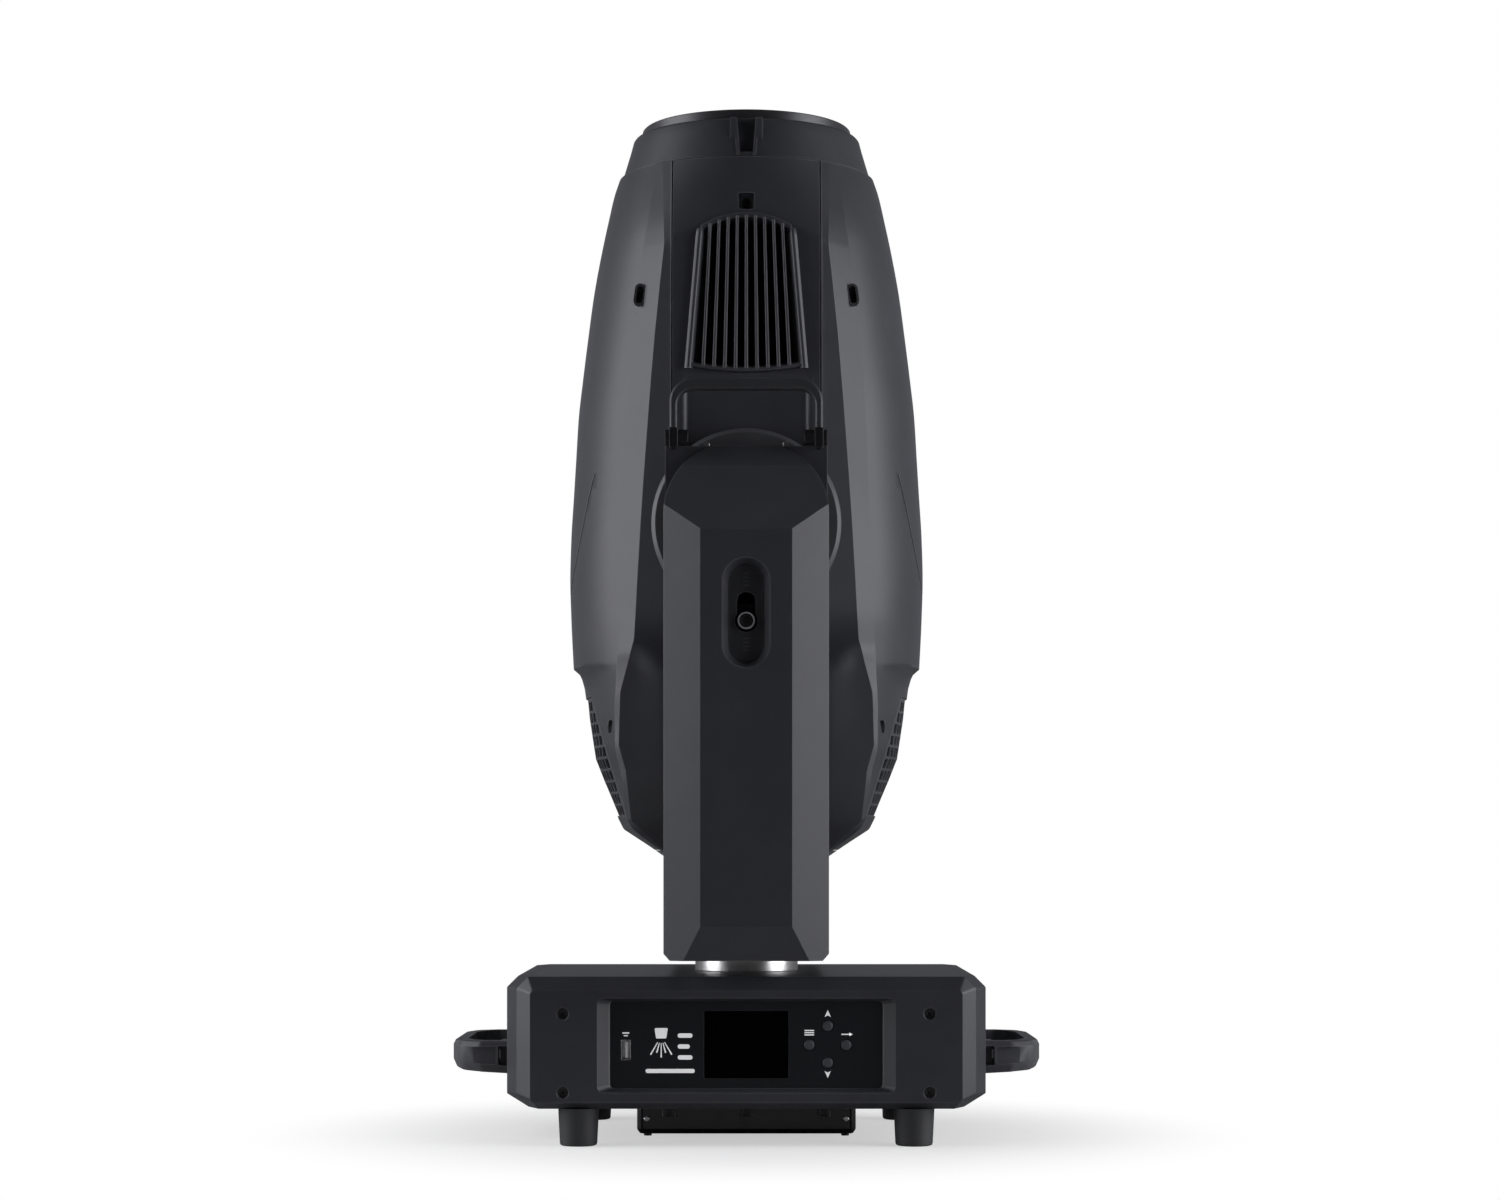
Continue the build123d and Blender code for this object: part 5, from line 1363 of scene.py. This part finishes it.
def tail_row(z, inset=0.0):
    """Closed section of the tail at one height."""
    soft = (SOFT_X(z) - inset, SOFT_Y(z) - inset)
    crease = (CREASE_X(z) - inset, CREASE_Y(z) - inset)
    flank = flank_arc(soft, silhouette(z) - inset, 19)
    bend = [(crease[0] * 0.5, -crease[1]), (crease[0], -crease[1]), (soft[0], -soft[1]), flank[0]]
    corner = rounded(bend, [0, 1.2, 3.0, 0], 4, closed=False)
    quarter = [(0.0, -crease[1])] + corner[:-1] + flank[:10]
    right = quarter + [(x, -y) for x, y in reversed(quarter[:-1])]
    loop = right[:-1] + [(-x, y) for x, y in reversed(right[1:])]
    return [(x, y, z) for x, y in loop]


def tail_solid(heights, inset=0.0):
    return stack([tail_row(z, inset) for z in heights])


def tail_cap():
    """Rear cap below the covers, with its collar inside them and a row of slots underneath."""
    cap = make("tail_cap", tail_solid((HEAD_BOTTOM, 206.0, 210.0, 213.0, COVER_BOTTOM - 0.4)))
    weld(cap, tail_solid((COVER_BOTTOM - 1.0, 222.0, 228.0), 3.6))
    carve(cap, tail_solid((HEAD_BOTTOM + 3.0, 210.0, 217.0, 222.0, 230.0), 6.0))
    for x in (-30, -20, -10, 0, 10, 20, 30):
        slot = rectangle((x - 2.5, x + 2.5), (-34.0, 34.0), 2.2)
        carve(cap, prism("z", slot, HEAD_BOTTOM - 1, HEAD_BOTTOM + 4))
    finish(cap, CAP, "head", "shell_plastic", ["rear_cap"], 0.4, 2, 40.0)


def tail_grilles():
    """Slotted skins on both sides of the tail."""
    levels = [238.0, 241.0, 248.0, 256.0, 264.0, 271.0, 279.0, 287.0] + spaced(294.0, 338.0, 12)
    skin = make("tail_grille_right", tail_solid(levels, 1.3))
    carve(skin, tail_solid([230.0] + levels[1:-1] + [345.0], 2.5))
    combine(skin, "INTERSECT", [prism("y", grille_outline(0.2), -140.0, 140.0)])
    slots = []
    for z in (247.0, 255.8, 264.6, 273.4, 282.2, 291.0, 299.8, 308.6, 317.4, 326.2):
        reach = flank_depth(grille_edge(z) + 1.2, z, 1.3)
        count = 2 * int(reach / 10.6)
        for step in range(-count // 2, count // 2 + 1):
            y = (reach - 4.8) * 2 * step / count
            slots.append(prism("x", rectangle((y - 4.2, y + 4.2), (z - 3.6, z + 3.6), 1.4, 3), 60, 150))
    carve(skin, merged(slots))
    finish_pair(skin, "tail_grille_left", "x", SHELL, "head", "shell_plastic", ["rear_grilles"],
                width=0.25, segments=1, angle=40.0)


def tail_filters():
    """Pleated foam behind the slotted skins."""
    rows = []
    for z in spaced(240.0, 336.0, 13):
        arc = flank_arc((SOFT_X(z) - 5.5, SOFT_Y(z) - 5.5), silhouette(z) - 6.0, 31)
        rows.append([(x + 0.9 * (index % 2), y, z) for index, (x, y) in enumerate(arc)])
    lining = make("tail_filter_right", grid(rows))
    thicken(lining, 0.8)
    finish_pair(lining, "tail_filter_left", "x", FOAM, "head", "rubber", width=0.0, angle=20)


def nose_notch(ring, side, base_z):
    """One screw notch of the nose ring: a pad, a rib on each side and the notch itself."""
    weld(ring, prism("z", rectangle((-12.0, 12.0), sided(side, 82.0, 91.0)), base_z + 1.0, 761.5))
    for mirror in (-1, 1):
        rib = [(mirror * 4.9, base_z + 1.0), (mirror * 7.0, base_z + 1.0), (mirror * 9.4, 760.6),
               (mirror * 7.3, 760.6)]
        weld(ring, stack([
            [(x, side * 86.0, z) for x, z in rib],
            [(x, side * (96.4 - 9.4 * (z - base_z) / 28.0), z) for x, z in rib],
        ]))
    notch = [(-4.9, 735.0), (4.9, 735.0), (7.3, 764.0), (-7.3, 764.0)]
    carve(ring, stack([
        [(x, side * 110.0, z) for x, z in notch],
        [(x, side * (89.0 + (83.6 - 89.0) * (z - 735.0) / 29.0), z) for x, z in notch],
    ]))


def nose_ring():
    """Tapered ring with its front and rear notches."""
    base_z = HEAD_TOP + 0.4
    profile = [(90.0, base_z), (94.6, base_z), (95.3, base_z + 0.8), (92.0, 743.0), (89.0, 753.0),
               (87.0, 760.5), (85.8, 762.0), (80.4, 763.2), (80.2, 756.0), (86.0, 752.0)]
    ring = make("nose_ring", lathe(profile, "z", steps=144))
    for side in (-1, 1):
        nose_notch(ring, side, base_z)
    finish(ring, SHELL, "head", "shell_plastic", ["nose_cover"], 0.5, 2, 40.0)


def rim_and_lens():
    """Dark metal rim and the crowned front lens, both seated on the nose ring."""
    rim = [(LENS_RADIUS - 4, 752.0), (RIM_RADIUS, 752.0), (RIM_RADIUS, RIM_TOP - 0.8),
           (RIM_RADIUS - 0.8, RIM_TOP), (RIM_RADIUS - 3.2, RIM_TOP), (LENS_RADIUS + 1.2, RIM_TOP - 3.0),
           (LENS_RADIUS + 0.1, RIM_TOP - 5.0), (LENS_RADIUS + 0.1, LENS_BACK_Z),
           (LENS_RADIUS - 4, LENS_BACK_Z)]
    rim = lathe(rim, "z", steps=144)
    add_piece("lens_rim", [rim], RIM_METAL, "head", "painted_metal", ["front_rim"], angle=35)

    rise = LENS_CROWN_Z - LENS_EDGE_Z
    ball = (LENS_RADIUS**2 + rise**2) / (2 * rise)
    profile = [(0.0, LENS_BACK_Z), (LENS_RADIUS, LENS_BACK_Z)]
    profile += [(radius, LENS_CROWN_Z - ball + math.sqrt(ball * ball - radius * radius))
                for radius in spaced(LENS_RADIUS, 0.0, 25)]
    add_piece("front_glass", [lathe(profile, "z", steps=128)], GLASS, "head", "lens_glass", ["front_lens"])


head_covers()
side_plates()
vents()
tail_cap()
tail_grilles()
tail_filters()
nose_ring()
rim_and_lens()

# ---------------------------------------------------------------- CAD nodes that stay

KEPT = {
    "base_chassis": (PAINT, 0.8),
    "base_top_plate": (PAINT, 0.5),
    "base_screws": (BLACK_STEEL, 0.25),
    "safety_cable_eye": (STEEL, 0.5),
    "control_board": (BOARD, 0.1),
    "rear_connector_plate": (PANEL, 0.3),
    "rear_sockets": (GLOSSY, 0.3),
    "power_supply": (ZINC, 0.5),
    "pan_hub": (CHROME, 0.6),
    "pan_bearings": (STEEL, 0.2),
    "pan_gear": (GEAR, 0.3),
    "yoke_frame": (ZINC, 0.3),
    "arm_inner_covers": (SHELL, 1.0),
    "yoke_base_cover": (SHELL, 0.8),
    "pan_shaft": (STEEL, 0.3),
    "tilt_bearings": (STEEL, 0.3),
    "drive_motors": (BLACK_STEEL, 0.4),
    "drive_belts": (RUBBER, 0.2),
    "tilt_hubs": (RING, 0.5),
    "tilt_gear": (GEAR, 0.3),
    "head_frame": (ZINC, 0.3),
    "head_screws": (BLACK_STEEL, 0.2),
    "heatsink": (GEAR, 0.15),
    "led_engine": (BLACK_STEEL, 0.3),
    "fan_frame": (PANEL, 0.4),
    "guide_rods": (STEEL, 0.2),
    "fan_rotor": (PANEL, 0.2),
    "zoom_carriage": (BLACK_STEEL, 0.2),
    "focus_carriage": (BLACK_STEEL, 0.2),
    "gobo_wheel": (STEEL, 0.2),
    "pan_motor_pulley": (GEAR, 0.2),
    "tilt_motor_pulley": (GEAR, 0.2),
    "tilt_lock_knob": (BLACK_STEEL, 0.3),
}
for node, (material, edge) in KEPT.items():
    keep_node(node, material, edge)

# ---------------------------------------------------------------- floor, light and camera

FADE = (0.15, 0.40)                   # metres from the centre over which the floor turns plain white
FLOOR_LIFT = 0.53
ROOM_ENDS = ((0.10, 0.03), (0.94, 0.30))              # (position from front to back, brightness)
ROOM_MIDDLE = ((0.36, 0.45), (0.52, 0.5), (0.70, 0.38))


def pale_floor():
    """Matt white floor with a soft shadow, which runs out into plain white away from the object."""
    material = surface("floor_paper", (0.60, 0.60, 0.60), 0.8, tone=0.01, grain=0.1, grain_size=3.0,
                       shine=0.1)
    tree = material.node_tree
    shape = add_node(tree, "NewGeometry", {})
    distance = add_node(tree, "VectorMath", {0: shape.outputs["Position"]}, operation="LENGTH")
    away = add_node(tree, "MapRange", {"From Min": FADE[0], "From Max": FADE[1],
                                       "Value": distance.outputs["Value"]}, interpolation_type="SMOOTHSTEP")
    direct = add_node(tree, "LightPath", {}).outputs["Is Camera Ray"]
    seen = add_node(tree, "Math", {0: away.outputs["Result"], 1: direct}, operation="MULTIPLY")
    white = add_node(tree, "Emission", {"Color": grey(1.0)})
    lift = add_node(tree, "Math", {0: direct, 1: FLOOR_LIFT}, operation="MULTIPLY")
    glow = add_node(tree, "Emission", {"Color": grey(1.0), "Strength": lift.outputs["Value"]})
    paper = tree.nodes["Principled BSDF"].outputs["BSDF"]
    near = add_node(tree, "AddShader", {0: paper, 1: glow.outputs["Emission"]})
    blend = add_node(tree, "MixShader", {"Fac": seen.outputs["Value"], 1: near.outputs["Shader"],
                                         2: white.outputs["Emission"]})
    tree.links.new(blend.outputs["Shader"], tree.nodes["Material Output"].inputs["Surface"])
    floor = make("studio_floor", prism("z", rectangle((-9000, 9000), (-6000, 9000)), -12.0, -0.2))
    floor.data.materials.append(material)


def softbox(name, place, aim, size, power):
    light = bpy.data.lights.new(name, "AREA")
    light.shape = "RECTANGLE"
    light.size, light.size_y = size
    light.energy = power
    light.color = (0.96, 0.965, 1.0)
    lamp = bpy.data.objects.new(name, light)
    lamp.location = place
    lamp.rotation_euler = (Vector(aim) - Vector(place)).to_track_quat("-Z", "Y").to_euler()
    bpy.context.scene.collection.objects.link(lamp)


def reflected_room(tree, front_to_back):
    """Brightness that glossy surfaces mirror, from in front of the object to behind it."""
    facing = add_node(tree, "MapRange", {"From Min": -1.0, "Value": front_to_back})
    sweep = add_node(tree, "ValToRGB", {"Fac": facing.outputs["Result"]})
    stops = sweep.color_ramp.elements
    for stop, (position, level) in zip(stops, ROOM_ENDS):
        stop.position = position
        stop.color = grey(level)
    for position, level in ROOM_MIDDLE:
        stops.new(position).color = grey(level)
    return sweep.outputs["Color"]


def studio():
    """White behind the object, a dim room around it and three softboxes."""
    world = bpy.data.worlds.new("studio")
    bpy.context.scene.world = world
    world.use_nodes = True
    tree = world.node_tree
    seen = tree.nodes["Background"]
    seen.inputs["Color"].default_value = grey(1.0)
    seen.inputs["Strength"].default_value = 1.0
    ray = add_node(tree, "LightPath", {})
    place = add_node(tree, "TexCoord", {})
    part = add_node(tree, "SeparateXYZ", {"Vector": place.outputs["Generated"]})
    back = add_node(tree, "MapRange", {"To Min": 0.03, "To Max": 0.32, "Value": part.outputs["Y"]})
    strength = add_node(tree, "Mix", {"Factor": ray.outputs["Is Glossy Ray"], "A": back.outputs["Result"],
                                      "B": reflected_room(tree, part.outputs["Y"])})
    overhead = add_node(tree, "MapRange", {"From Min": 0.15, "From Max": 0.75, "To Min": 1.0, "To Max": 0.12,
                                           "Value": part.outputs["Z"]})
    shaded = add_node(tree, "Math", {0: strength.outputs["Result"], 1: overhead.outputs["Result"]},
                      operation="MULTIPLY")
    fill = add_node(tree, "Background", {"Color": (0.92, 0.93, 1.0, 1.0),
                                         "Strength": shaded.outputs["Value"]})
    pick = add_node(tree, "MixShader", {"Fac": ray.outputs["Is Camera Ray"], 1: fill.outputs["Background"],
                                        2: seen.outputs["Background"]})
    tree.links.new(pick.outputs["Shader"], tree.nodes["World Output"].inputs["Surface"])
    softbox("left_softbox", (-2.15, -0.34, 0.90), (0, 0, 0.4), (1.5, 2.0), 40)
    softbox("right_softbox", (2.05, -0.62, 0.50), (0, 0, 0.4), (1.5, 2.0), 47)
    softbox("top_softbox", (0.0, 0.2, 2.6), (0, 0, 0.3), (2.4, 2.0), 2)
    bpy.context.scene.view_settings.view_transform = "Standard"


def camera():
    """Level camera on the photo's axis. Its vertical shift applies only from this place."""
    data = bpy.data.cameras.new("camera")
    data.sensor_width = 36.0
    data.lens = 74.64
    view = bpy.data.objects.new("camera", data)
    view.location = (0.0027, -2.4, 0.221)
    view.rotation_euler = (math.radians(90), 0, 0)
    bpy.context.scene.collection.objects.link(view)
    bpy.context.scene.camera = view
    shift = data.driver_add("shift_y").driver
    for name, path in (("y", "location.y"), ("z", "location.z")):
        variable = shift.variables.new()
        variable.name = name
        variable.targets[0].id = view
        variable.targets[0].data_path = path
    shift.expression = "0.1633 if y < -2.39 and y > -2.41 and z < 0.2211 and z > 0.2209 else 0.0"


pale_floor()
studio()
camera()

bpy.context.view_layer.update()
